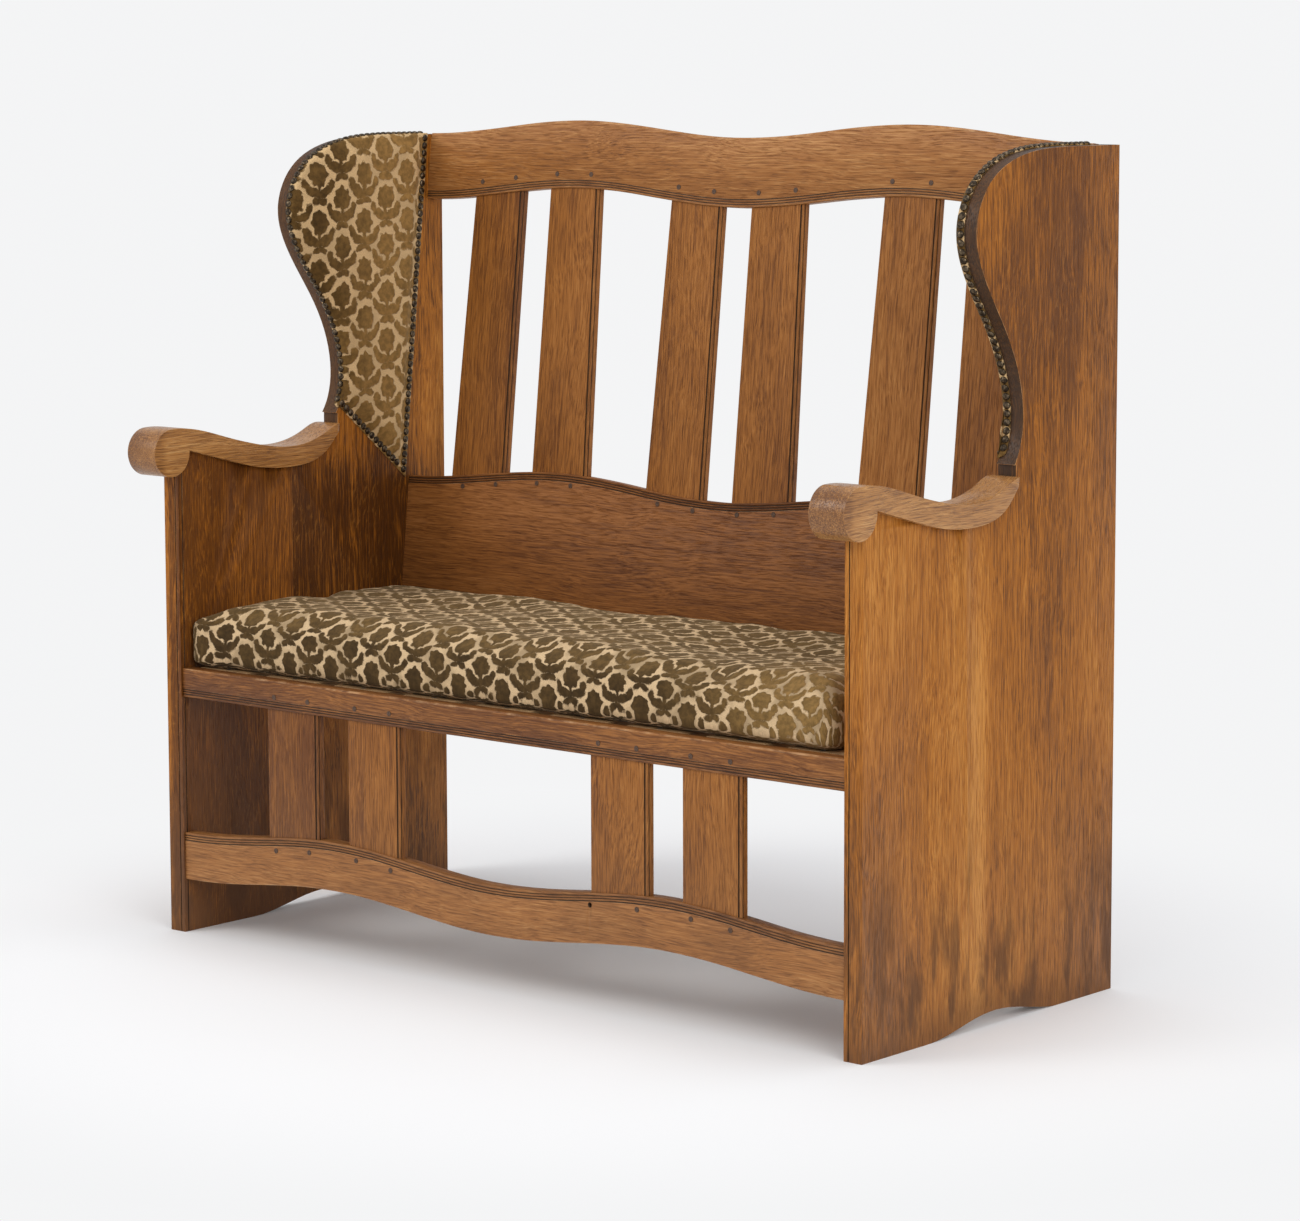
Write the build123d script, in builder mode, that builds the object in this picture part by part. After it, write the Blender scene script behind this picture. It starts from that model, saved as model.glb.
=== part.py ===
from build123d import *
import os
from math import cos, hypot, pi, radians, sin, tan

# Oak settle with winged, upholstered ends, a raked slatted back and a loose seat cushion.
# X runs along the seat, Y from front to back, Z up. Lengths are in millimetres.

# Overall sizes
overall_height = 1125.0
end_span = 1219.0
end_depth = 536.0
end_thickness = 28.0
wing_top = 1102.0
seat_top = 372.5

# Joints that many pieces share
tenon_length = 14.0
dowel_radius = 5.0
peg_radius = 3.5
peg_stand = 0.6
peg_spacing = 64.0
sunk_peg_depth = 3.0
screw_radius = 2.0
screw_head_radius = 4.0
screw_head_angle = 82.0
slip_clearance = 0.5

# End boards
front_board_width = 220.0
foot_arch_width = 290.0
foot_arch_height = 18.0
foot_arch_shift = 8.0
edge_bead_width = 7.0
edge_groove_width = 1.6
edge_groove_depth = 1.6
end_dowel_length = 60.0
end_dowel_rows = 4

# Wings: the front edge of the rear board above the arm
wing_foot_height = 707.0
wing_foot_depth = 226.0
wing_foot_step = 3.5
wing_curve_shares = (
    (0.390, 0.109), (0.392, 0.210), (0.4515, 0.410), (0.541, 0.590),
    (0.578, 0.742), (0.535, 0.881), (0.414, 0.972), (0.310, 0.995), (0.220, 1.0),
)
wing_curve_refining = 2

# Arms
arm_thickness = 29.0
arm_dip = 40.5
arm_overhang = 13.0
arm_tail_narrowing = 3.0
arm_tail_corner = 11.0
scroll_radius = 33.0
scroll_reach = 22.0
scroll_height = 675.0
arm_curve_shares = (
    (0.095, 0.970, 0.950), (0.206, 0.790, 0.704), (0.320, 0.530, 0.457), (0.468, 0.235, 0.155),
    (0.600, 0.045, 0.010), (0.700, 0.000, 0.000), (0.800, 0.100, 0.085), (0.900, 0.380, 0.430),
    (0.960, 0.590, 0.910), (1.000, 0.620, 1.270),
)
arm_dowel_rows = (2, 5)
arm_dowel_grip = 14.0
arm_dowel_length = 44.0

# Scalloped rails of the back
rake_degrees = 6.2
swells = 2
swell_rise = 21.0
points_per_swell = 8
back_thickness = 19.0
top_rail_height = 96.0
back_board_top = 606.0
back_tenon_thickness = 9.0
tenon_shoulder = 12.0

# Reeds along a rail edge, and the bead along a slat's right-hand edge
reed_count = 3
reed_pitch = 3.4
reed_groove_width = 1.1
reed_groove_depth = 1.2
slat_bead_width = 4.8
slat_groove_width = 1.5
slat_groove_depth = 1.5

# Slats
slat_thickness = 12.0
slat_setback = 3.0
slat_housing = 14.0
back_slat_top_width = 91.0
back_slat_bottom_width = 104.0
back_pair_gap = 52.0
back_pair_centre_shares = (-0.636, 0, 0.636)
front_slat_width = 96.0
front_slat_centre_shares = (-0.635, -0.372, 0.372, 0.635)

# Front rails
front_thickness = 22.0
front_setback = 3.0
front_tenon_thickness = 10.0
seat_rail_height = 40.0
lower_rail_height = 66.5
lower_rail_top = 141.0
top_rail_peg_rise = 20.0
back_board_peg_drop = 16.0
seat_rail_peg_drop = 23.0
lower_rail_peg_drop = 18.0
sunk_peg_number = 4

# Seat deck under the cushion
deck_slat_count = 9
deck_slat_width = 95.0
deck_slat_thickness = 12.0
deck_end_gap = 12.0
ledger_height = 20.0
ledger_depth = 18.0
ledger_screw_length = 30.0
ledger_screw_count = 6
deck_screw_length = 26.0

# Upholstered wing pads with their close nails
pad_border = 15.0
pad_foot_rise = 13.0
pad_tail_height = 615.5
pad_skin = 2.0
pad_loft = 10.0
pad_edge_radius = 7.0
pad_corner_radius = 14.0
crown_rear_steps = 12
crown_slope_steps = 5
crown_corner_steps = 4
crown_roll_steps = 3
pad_hem = 6.0
pad_crown_inset = 8.0
pad_wrap_width = 9.0
pad_wrap_skin = 2.0
nail_pitch = 10.9
nail_dome_radius = 6.0
nail_cap_latitude = 30.0
nail_line_inset = 4.5
nail_row_gap = 0.25
nail_seat_play = 0.05

# Seat cushion
cushion_thickness = 84.0
cushion_side_gap = 3.0
cushion_far_gap = 17.0
cushion_front_setback = 5.0
cushion_back_gap = 1.5
cushion_front_corner = 32.0
cushion_edge_radius = 26.0
cushion_foot_radius = 12.0
cushion_crown = 9.0
cushion_draw = 6.0
cushion_lift = 0.3

# One overrun serves every cut that leaves the wood
overrun = 5.0

# Places that follow from those sizes
rake = radians(rake_degrees)
inner_width = end_span - 2 * end_thickness
inner_half = inner_width / 2
total_depth = end_depth + scroll_reach + scroll_radius
scroll_y = -total_depth / 2 + scroll_radius
end_front = scroll_y + scroll_reach
end_rear = end_front + end_depth
seam_y = end_front + front_board_width
wing_foot_y = end_rear - wing_foot_depth
arm_tail_y = wing_foot_y + wing_foot_step
arm_run = arm_tail_y - scroll_y
arm_low_top = scroll_height + scroll_radius - arm_dip
arm_middle = inner_half + end_thickness / 2
arm_width = end_thickness + 2 * arm_overhang

back_top_y = end_rear - back_thickness * cos(rake)
back_face = Plane(
    origin=(0, back_top_y, overall_height), x_dir=(1, 0, 0), z_dir=(0, -cos(rake), sin(rake))
)
front_face_y = end_front + front_setback
front_face = Plane(origin=(0, front_face_y, 0), x_dir=(1, 0, 0), z_dir=(0, -1, 0))
left_inner_face = Plane(origin=(-inner_half, 0, 0), x_dir=(0, 1, 0), z_dir=(1, 0, 0))
end_middle = Plane(origin=(-arm_middle, 0, 0), x_dir=(0, 1, 0), z_dir=(1, 0, 0))
floor_plan = Plane.XY
standing = (Align.CENTER, Align.CENTER, Align.MIN)
hung = (Align.CENTER, Align.CENTER, Align.MAX)

top_rail_top = -swell_rise
top_rail_low = top_rail_top - top_rail_height
back_board_high = (back_board_top - overall_height) / cos(rake)
back_board_low = (seat_top - overall_height) / cos(rake)
rear_rail_low = back_board_low - seat_rail_height
seat_rail_low = seat_top - seat_rail_height
lower_rail_low = lower_rail_top - lower_rail_height
deck_underside = seat_top - deck_slat_thickness
ledger_low = deck_underside - ledger_height
back_slat_stands = [
    (share * inner_half + side * back_pair_gap / 2, side)
    for share in back_pair_centre_shares for side in (-1, 1)
]
front_slat_stands = [
    (share * inner_half - front_slat_width / 2, 1) for share in front_slat_centre_shares
]
back_slat_centres = [edge + side * back_slat_top_width / 2 for edge, side in back_slat_stands]
front_slat_centres = [edge + side * front_slat_width / 2 for edge, side in front_slat_stands]
deck_front = front_face_y + front_thickness + slip_clearance


def back_front_y(height):
    """Y of the back's front face at a height above the floor."""
    return back_top_y - (overall_height - height) * tan(rake)


def swell(across):
    """Rise of a scalloped edge above its dips, at a distance from the middle of the settle."""
    return swell_rise * (1 - cos(2 * pi * swells * across / inner_width)) / 2


def swell_points(base):
    """Points of a scalloped edge whose dips lie at base."""
    steps = points_per_swell * swells
    places = [inner_width * (step / steps - 1 / 2) for step in range(steps + 1)]
    return [(across, base + swell(across)) for across in places]


def scalloped_board(plane, low, high):
    """Face of a rail with the same swells along both edges."""
    with BuildSketch(plane) as board:
        with BuildLine():
            bottom = Spline(*swell_points(low), tangents=((1, 0), (1, 0)))
            top = Spline(*swell_points(high), tangents=((1, 0), (1, 0)))
            Line(bottom @ 0, top @ 0)
            Line(bottom @ 1, top @ 1)
        make_face()
    return board.sketch


def straight_bottomed_board(plane, low, high):
    """Face of a board with a straight lower edge and swells along its top."""
    with BuildSketch(plane) as board:
        with BuildLine():
            top = Spline(*swell_points(high), tangents=((1, 0), (1, 0)))
            Polyline(top @ 0, (-inner_half, low), (inner_half, low), top @ 1)
        make_face()
    return board.sketch


def reed_grooves(plane, edge, direction):
    """Thin bands that follow a scalloped edge, one for each reed, inside the board."""
    with BuildSketch(plane) as grooves:
        for reed in range(1, reed_count + 1):
            near = edge + direction * reed * reed_pitch
            far = near + direction * reed_groove_width
            with BuildLine():
                first = Spline(*swell_points(near), tangents=((1, 0), (1, 0)))
                second = Spline(*swell_points(far), tangents=((1, 0), (1, 0)))
                Line(first @ 0, second @ 0)
                Line(first @ 1, second @ 1)
            make_face()
    return grooves.sketch


def straight_grooves(plane, low):
    """Thin bands along a rail's straight lower edge, one for each reed."""
    with BuildSketch(plane) as grooves:
        for reed in range(1, reed_count + 1):
            with Locations((0, low + reed * reed_pitch)):
                Rectangle(inner_width, reed_groove_width)
    return grooves.sketch


def tenon_faces(plane, low, high):
    """Faces of the stub tenons that enter both ends, from low to high."""
    with BuildSketch(plane) as tenons:
        for side in (-1, 1):
            with Locations((side * (inner_half + tenon_length / 2), (low + high) / 2)):
                Rectangle(tenon_length, high - low)
    return tenons.sketch


def slat_edges(straight, side, width):
    """Left and right edges of a slat with one edge straight and its width off to a side."""
    return sorted((straight, straight + side * width))


def slat_face(plane, stand, low, low_width, high, high_width):
    """Face of a slat, straight along one edge and flared along the other towards its foot."""
    low_left, low_right = slat_edges(*stand, low_width)
    high_left, high_right = slat_edges(*stand, high_width)
    with BuildSketch(plane) as slat:
        with BuildLine():
            Polyline(
                (low_left, low), (low_right, low), (high_right, high), (high_left, high),
                close=True,
            )
        make_face()
    return slat.sketch


def slat_groove(plane, stand, low, low_width, high, high_width):
    """Thin band beside the right-hand edge of a slat, behind its bead."""
    outer_low = slat_edges(*stand, low_width)[1] - slat_bead_width
    outer_high = slat_edges(*stand, high_width)[1] - slat_bead_width
    with BuildSketch(plane) as groove:
        with BuildLine():
            Polyline(
                (outer_low, low), (outer_high, high),
                (outer_high - slat_groove_width, high), (outer_low - slat_groove_width, low),
                close=True,
            )
        make_face()
    return groove.sketch


def peg_pair(centre, base, swelling):
    """Places of the two pegs of a slat, in its rail's face."""
    pair = [centre - peg_spacing / 2, centre + peg_spacing / 2]
    return [(across, base + (swell(across) if swelling else 0)) for across in pair]


def peg_places(centres, base, swelling):
    """Places of the pegs of all the slats in a rail."""
    return [place for centre in centres for place in peg_pair(centre, base, swelling)]


def peg_faces(plane, places):
    """Round faces of pegs at places on a rail's face."""
    with BuildSketch(plane) as pegs:
        with Locations(*places):
            Circle(peg_radius)
    return pegs.sketch


def screws(length, mode=Mode.ADD):
    """Countersunk screws at the current places, or the holes that they fill."""
    head_height = screw_head_radius / tan(radians(screw_head_angle / 2))
    Cylinder(screw_radius, length, align=hung, mode=mode)
    Cone(0, screw_head_radius, head_height, align=hung, mode=mode)


# Curves of the arm, seen from the side
def arm_point(shares, level):
    """Point of the arm's curve: level 1 is its top, 2 its underside and 0 halfway between."""
    along = scroll_y + shares[0] * arm_run
    top = arm_low_top + shares[1] * arm_dip
    under = arm_low_top - arm_thickness + shares[2] * arm_dip
    return (along, ((top + under) / 2, top, under)[level])


with BuildSketch(end_middle) as arm_profile:
    with BuildLine():
        arm_top = Spline(
            (scroll_y, scroll_height + scroll_radius),
            *[arm_point(shares, 1) for shares in arm_curve_shares],
        )
        arm_under = Spline(*[arm_point(shares, 2) for shares in arm_curve_shares])
        Line(arm_top @ 1, arm_under @ 1)
        Polyline(arm_top @ 0, (scroll_y, scroll_height), arm_under @ 0)
    make_face()
    with Locations((scroll_y, scroll_height)):
        Circle(scroll_radius)

# Outline of an end, seen from the side
wing_rise = wing_top - wing_foot_height
wing_points = [
    (end_rear - shares[0] * end_depth, wing_foot_height + shares[1] * wing_rise)
    for shares in wing_curve_shares
]
with BuildLine(Plane.YZ) as wing_line:
    Spline((wing_foot_y, wing_foot_height), *wing_points)
wing_run = wing_line.edges()[0]
wing_edge_steps = (wing_curve_refining + 1) * len(wing_curve_shares)


def wing_edge_points(growth):
    """Points of the wing's curved edge, from its foot to its straight top, grown outwards."""
    steps = wing_edge_steps
    points = []
    for step in range(steps + 1):
        spot = wing_run @ (step / steps)
        run = wing_run % (step / steps)
        points.append((spot.Y - growth * run.Z, spot.Z + growth * run.Y))
    return points


def foot_arch_points():
    """Points of the shallow arch between the feet of an end."""
    steps = points_per_swell
    middle = (end_front + end_rear) / 2 + foot_arch_shift
    points = []
    for step in range(steps + 1):
        along = middle + foot_arch_width * (step / steps - 1 / 2)
        points.append((along, foot_arch_height * (1 - cos(2 * pi * step / steps)) / 2))
    return points


with BuildSketch(end_middle) as end_outline:
    with BuildLine():
        arch = Spline(*foot_arch_points(), tangents=((1, 0), (1, 0)))
        wing_edge = Spline(*wing_edge_points(0))
        Polyline(arch @ 1, (end_rear, 0), (end_rear, wing_top), wing_edge @ 1)
        Polyline(
            wing_edge @ 0, (arm_tail_y, wing_foot_height),
            *[arm_point(shares, 0) for shares in reversed(arm_curve_shares)],
            (end_front, scroll_height), (end_front, 0), arch @ 0,
        )
    make_face()
    add(arm_profile.sketch_local, mode=Mode.SUBTRACT)

with BuildSketch(end_middle) as front_board_window:
    with Locations(((end_front + seam_y) / 2, overall_height / 2)):
        Rectangle(front_board_width, overall_height)
with BuildSketch(end_middle) as rear_board_window:
    with Locations(((seam_y + end_rear) / 2, overall_height / 2)):
        Rectangle(end_rear - seam_y, overall_height)

# Dowels between the two boards of an end, and between the end and its arm
end_dowel_planes = [
    Plane(
        origin=(-arm_middle, seam_y, scroll_height * row / (end_dowel_rows + 1)), z_dir=(0, 1, 0)
    )
    for row in range(1, end_dowel_rows + 1)
]
arm_dowel_planes = []
for row in arm_dowel_rows:
    along, under = arm_point(arm_curve_shares[row], 2)
    seat = under + arm_dowel_grip - arm_dowel_length
    arm_dowel_planes.append(Plane(origin=(-arm_middle, along, seat), z_dir=(0, 0, 1)))

# Faces of the rails, which the mortises of the ends follow
top_rail_tenons = tenon_faces(
    back_face.offset(-back_tenon_thickness / 2),
    top_rail_low + tenon_shoulder, top_rail_top - tenon_shoulder - swell_rise,
)
back_board_tenons = tenon_faces(
    back_face.offset(-back_tenon_thickness / 2),
    back_board_low + tenon_shoulder, back_board_high - tenon_shoulder - swell_rise,
)
rear_rail_tenons = tenon_faces(
    back_face.offset(-back_tenon_thickness / 2),
    rear_rail_low + tenon_shoulder / 2, back_board_low - tenon_shoulder / 2,
)
seat_rail_tenons = tenon_faces(
    front_face.offset(-front_tenon_thickness / 2),
    seat_rail_low + tenon_shoulder / 2, seat_top - tenon_shoulder / 2,
)
lower_rail_tenons = tenon_faces(
    front_face.offset(-front_tenon_thickness / 2),
    lower_rail_low + tenon_shoulder, lower_rail_top - tenon_shoulder,
)

# Front board of the left end
with BuildPart() as left_end_front_board:
    board = end_outline.sketch & front_board_window.sketch
    extrude(board, amount=end_thickness / 2, both=True)
    extrude(seat_rail_tenons, amount=-front_tenon_thickness, mode=Mode.SUBTRACT)
    extrude(lower_rail_tenons, amount=-front_tenon_thickness, mode=Mode.SUBTRACT)
    # staff bead along the inner front arris
    with BuildSketch(floor_plan) as bead_grooves:
        with Locations((-inner_half - edge_bead_width, end_front)):
            Rectangle(edge_groove_width, 2 * edge_groove_depth)
        with Locations((-inner_half, end_front + edge_bead_width)):
            Rectangle(2 * edge_groove_depth, edge_groove_width)
    extrude(bead_grooves.sketch, amount=scroll_height, mode=Mode.SUBTRACT)
    with Locations(*end_dowel_planes):
        Cylinder(dowel_radius, end_dowel_length, mode=Mode.SUBTRACT)
    with Locations(*arm_dowel_planes):
        Cylinder(dowel_radius, arm_dowel_length, align=standing, mode=Mode.SUBTRACT)

# Rear board of the left end, which rises into the wing
with BuildPart() as left_end_rear_board:
    board = end_outline.sketch & rear_board_window.sketch
    extrude(board, amount=end_thickness / 2, both=True)
    for tenons in (top_rail_tenons, back_board_tenons, rear_rail_tenons):
        extrude(tenons, amount=-back_tenon_thickness, mode=Mode.SUBTRACT)
    with Locations(*end_dowel_planes):
        Cylinder(dowel_radius, end_dowel_length, mode=Mode.SUBTRACT)

with BuildPart() as left_end_dowels:
    with Locations(*end_dowel_planes):
        Cylinder(dowel_radius, end_dowel_length)

with BuildPart() as left_arm_dowels:
    with Locations(*arm_dowel_planes):
        Cylinder(dowel_radius, arm_dowel_length, align=standing)

# Arm with its scroll, wider than the end on both sides and narrowed to its tail
with BuildPart() as left_arm:
    extrude(arm_profile.sketch, amount=arm_width / 2, both=True)
    with BuildSketch(floor_plan) as arm_plan:
        with BuildLine():
            Polyline(
                (-arm_middle - arm_width / 2, scroll_y - scroll_radius - overrun),
                (-arm_middle + arm_width / 2, scroll_y - scroll_radius - overrun),
                (-arm_middle + arm_width / 2 - arm_tail_narrowing, arm_tail_y),
                (-arm_middle - arm_width / 2 + arm_tail_narrowing, arm_tail_y),
                close=True,
            )
        make_face()
        fillet(arm_plan.vertices().group_by(Axis.Y)[-1], arm_tail_corner)
    extrude(arm_plan.sketch, amount=overall_height, mode=Mode.INTERSECT)
    with Locations(*arm_dowel_planes):
        Cylinder(dowel_radius, arm_dowel_length, align=standing, mode=Mode.SUBTRACT)

# Top rail of the back, scalloped along both edges and reeded above the lower one
top_rail_pegs = peg_places(back_slat_centres, top_rail_low + top_rail_peg_rise, True)
back_board_pegs = peg_places(back_slat_centres, back_board_high - back_board_peg_drop, True)
slat_face_plane = back_face.offset(-slat_setback)
back_slat_low = back_board_high - slat_housing
back_slat_high = top_rail_low + swell_rise + slat_housing
back_slat_sizes = (back_slat_low, back_slat_bottom_width, back_slat_high, back_slat_top_width)

with BuildPart() as back_top_rail:
    extrude(scalloped_board(back_face, top_rail_low, top_rail_top), amount=-back_thickness)
    extrude(top_rail_tenons, amount=-back_tenon_thickness)
    extrude(reed_grooves(back_face, top_rail_low, 1), amount=-reed_groove_depth, mode=Mode.SUBTRACT)
    for stand in back_slat_stands:
        mortise = slat_face(slat_face_plane, stand, *back_slat_sizes)
        extrude(mortise, amount=-slat_thickness, mode=Mode.SUBTRACT)
    extrude(peg_faces(back_face, top_rail_pegs), amount=-back_thickness, mode=Mode.SUBTRACT)

# Wide lower board of the back, reeded under its scalloped top edge
with BuildPart() as back_lower_board:
    lower_board = straight_bottomed_board(back_face, back_board_low, back_board_high)
    extrude(lower_board, amount=-back_thickness)
    extrude(back_board_tenons, amount=-back_tenon_thickness)
    board_reeds = reed_grooves(back_face, back_board_high, -1)
    extrude(board_reeds, amount=-reed_groove_depth, mode=Mode.SUBTRACT)
    for stand in back_slat_stands:
        mortise = slat_face(slat_face_plane, stand, *back_slat_sizes)
        extrude(mortise, amount=-slat_thickness, mode=Mode.SUBTRACT)
    extrude(peg_faces(back_face, back_board_pegs), amount=-back_thickness, mode=Mode.SUBTRACT)

# Slats of the back, housed in the top rail and the lower board
back_slats = {}
for number, stand in enumerate(back_slat_stands, start=1):
    centre = back_slat_centres[number - 1]
    with BuildPart() as back_slat:
        extrude(slat_face(slat_face_plane, stand, *back_slat_sizes), amount=-slat_thickness)
        groove = slat_groove(slat_face_plane, stand, *back_slat_sizes)
        extrude(groove, amount=-slat_groove_depth, mode=Mode.SUBTRACT)
        head_pegs = peg_pair(centre, top_rail_low + top_rail_peg_rise, True)
        foot_pegs = peg_pair(centre, back_board_high - back_board_peg_drop, True)
        pegs = peg_faces(back_face, head_pegs + foot_pegs)
        extrude(pegs, amount=-back_thickness, mode=Mode.SUBTRACT)
    back_slats[f"back_slat_{number}"] = back_slat

with BuildPart() as back_rail_pegs:
    proud_face = back_face.offset(peg_stand)
    extrude(peg_faces(proud_face, top_rail_pegs), amount=-back_thickness - peg_stand)

with BuildPart() as back_board_peg_group:
    extrude(peg_faces(proud_face, back_board_pegs), amount=-back_thickness - peg_stand)

# Seat rail across the front, reeded along its lower edge
seat_rail_pegs = peg_places(front_slat_centres, seat_top - seat_rail_peg_drop, False)
lower_rail_pegs = peg_places(front_slat_centres, lower_rail_top - lower_rail_peg_drop, True)
front_slat_plane = front_face.offset(-slat_setback)
front_slat_low = lower_rail_top - slat_housing
front_slat_high = seat_rail_low + slat_housing
front_slat_sizes = (front_slat_low, front_slat_width, front_slat_high, front_slat_width)
ledger_screw_places = [
    (inner_width * ((place + 1 / 2) / ledger_screw_count - 1 / 2), deck_underside - ledger_height / 2)
    for place in range(ledger_screw_count)
]
front_ledger_planes = [
    Plane(
        origin=(across, front_face_y + front_thickness + ledger_depth, height),
        x_dir=(-1, 0, 0), z_dir=(0, 1, 0),
    )
    for across, height in ledger_screw_places
]

with BuildPart() as seat_front_rail:
    with BuildSketch(front_face) as rail_face:
        with Locations((0, (seat_top + seat_rail_low) / 2)):
            Rectangle(inner_width, seat_rail_height)
    extrude(rail_face.sketch, amount=-front_thickness)
    extrude(seat_rail_tenons, amount=-front_tenon_thickness)
    extrude(straight_grooves(front_face, seat_rail_low), amount=-reed_groove_depth, mode=Mode.SUBTRACT)
    for stand in front_slat_stands:
        mortise = slat_face(front_slat_plane, stand, *front_slat_sizes)
        extrude(mortise, amount=-slat_thickness, mode=Mode.SUBTRACT)
    extrude(peg_faces(front_face, seat_rail_pegs), amount=-front_thickness, mode=Mode.SUBTRACT)
    with Locations(*front_ledger_planes):
        screws(ledger_screw_length, Mode.SUBTRACT)

# Lower rail across the front, scalloped along both edges and reeded under the upper one
with BuildPart() as front_lower_rail:
    lower_rail = scalloped_board(front_face, lower_rail_low, lower_rail_top)
    extrude(lower_rail, amount=-front_thickness)
    extrude(lower_rail_tenons, amount=-front_tenon_thickness)
    rail_reeds = reed_grooves(front_face, lower_rail_top, -1)
    extrude(rail_reeds, amount=-reed_groove_depth, mode=Mode.SUBTRACT)
    for stand in front_slat_stands:
        mortise = slat_face(front_slat_plane, stand, *front_slat_sizes)
        extrude(mortise, amount=-slat_thickness, mode=Mode.SUBTRACT)
    extrude(peg_faces(front_face, lower_rail_pegs), amount=-front_thickness, mode=Mode.SUBTRACT)

# Slats of the front, housed in the seat rail and the lower rail
front_slats = {}
for number, stand in enumerate(front_slat_stands, start=1):
    centre = front_slat_centres[number - 1]
    with BuildPart() as front_slat:
        extrude(slat_face(front_slat_plane, stand, *front_slat_sizes), amount=-slat_thickness)
        groove = slat_groove(front_slat_plane, stand, *front_slat_sizes)
        extrude(groove, amount=-slat_groove_depth, mode=Mode.SUBTRACT)
        head_pegs = peg_pair(centre, seat_top - seat_rail_peg_drop, False)
        foot_pegs = peg_pair(centre, lower_rail_top - lower_rail_peg_drop, True)
        pegs = peg_faces(front_face, head_pegs + foot_pegs)
        extrude(pegs, amount=-front_thickness, mode=Mode.SUBTRACT)
    front_slats[f"front_slat_{number}"] = front_slat

with BuildPart() as seat_rail_peg_group:
    proud_front = front_face.offset(peg_stand)
    extrude(peg_faces(proud_front, seat_rail_pegs), amount=-front_thickness - peg_stand)

# One peg of the lower rail has sunk below the face
with BuildPart() as lower_rail_peg_group:
    flush_pegs = lower_rail_pegs[:sunk_peg_number] + lower_rail_pegs[sunk_peg_number + 1:]
    extrude(peg_faces(proud_front, flush_pegs), amount=-front_thickness - peg_stand)
    sunk_face = peg_faces(front_face.offset(-sunk_peg_depth), [lower_rail_pegs[sunk_peg_number]])
    extrude(sunk_face, amount=sunk_peg_depth - front_thickness)

# Rear seat rail under the back's lower board, with the same rake
with BuildPart() as seat_rear_rail:
    with BuildSketch(back_face) as rear_rail_face:
        with Locations((0, (rear_rail_low + back_board_low) / 2)):
            Rectangle(inner_width, seat_rail_height)
    extrude(rear_rail_face.sketch, amount=-back_thickness)
    extrude(rear_rail_tenons, amount=-back_tenon_thickness)
    ledger_rest = back_front_y(deck_underside - ledger_height / 2)
    rear_ledger_planes = [
        Plane(
            origin=(across, ledger_rest - ledger_depth, height),
            x_dir=(1, 0, 0), z_dir=(0, -1, 0),
        )
        for across, height in ledger_screw_places
    ]
    with Locations(*rear_ledger_planes):
        screws(ledger_screw_length, Mode.SUBTRACT)

# Screws through the deck slats into the ledgers
deck_pitch = (inner_width - 2 * deck_end_gap - deck_slat_width) / (deck_slat_count - 1)
deck_centres = [
    deck_pitch * (place - (deck_slat_count - 1) / 2) for place in range(deck_slat_count)
]
front_ledger_middle = front_face_y + front_thickness + ledger_depth / 2
rear_ledger_middle = ledger_rest - ledger_depth / 2
deck_rear = back_front_y(deck_underside) - slip_clearance


def deck_screw_planes(along):
    """Places of the deck screws in a ledger, one for each deck slat."""
    return [Plane(origin=(across, along, seat_top), z_dir=(0, 0, 1)) for across in deck_centres]


# Ledgers that carry the deck
with BuildPart() as seat_front_ledger:
    with BuildSketch(front_face.offset(-front_thickness)) as front_ledger_face:
        with Locations((0, deck_underside - ledger_height / 2)):
            Rectangle(inner_width, ledger_height)
    extrude(front_ledger_face.sketch, amount=-ledger_depth)
    with Locations(*front_ledger_planes):
        screws(ledger_screw_length, Mode.SUBTRACT)
    with Locations(*deck_screw_planes(front_ledger_middle)):
        screws(deck_screw_length, Mode.SUBTRACT)

with BuildPart() as seat_rear_ledger:
    with BuildSketch(Plane.YZ) as rear_ledger_section:
        with BuildLine():
            Polyline(
                (ledger_rest - ledger_depth, ledger_low),
                (back_front_y(ledger_low), ledger_low),
                (back_front_y(deck_underside), deck_underside),
                (ledger_rest - ledger_depth, deck_underside),
                close=True,
            )
        make_face()
    extrude(rear_ledger_section.sketch, amount=inner_half, both=True)
    with Locations(*rear_ledger_planes):
        screws(ledger_screw_length, Mode.SUBTRACT)
    with Locations(*deck_screw_planes(rear_ledger_middle)):
        screws(deck_screw_length, Mode.SUBTRACT)

with BuildPart() as ledger_screws:
    with Locations(*front_ledger_planes, *rear_ledger_planes):
        screws(ledger_screw_length)

# Deck slats from front to back under the cushion
deck_slats = {}
for number, centre in enumerate(deck_centres, start=1):
    with BuildPart() as deck_slat:
        with BuildSketch(Plane.XY.offset(deck_underside)) as deck_slat_plan:
            with Locations((centre, (deck_front + deck_rear) / 2)):
                Rectangle(deck_slat_width, deck_rear - deck_front)
        extrude(deck_slat_plan.sketch, amount=deck_slat_thickness)
        screw_planes = deck_screw_planes(front_ledger_middle) + deck_screw_planes(rear_ledger_middle)
        with Locations(*screw_planes):
            screws(deck_screw_length, Mode.SUBTRACT)
    deck_slats[f"seat_slat_{number}"] = deck_slat

with BuildPart() as seat_slat_screws:
    with Locations(*screw_planes):
        screws(deck_screw_length)

# Area inside the nail lines of a wing pad, open towards the wing's curved edge
nail_line_low = (back_front_y(pad_tail_height) - pad_border, pad_tail_height)
nail_line_high = (back_front_y(wing_top) - pad_border, wing_top)
nail_line_foot = (arm_tail_y + pad_border / 2, wing_foot_height + pad_foot_rise)
foot_slope = (nail_line_foot[1] - nail_line_low[1]) / (nail_line_low[0] - nail_line_foot[0])


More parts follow.
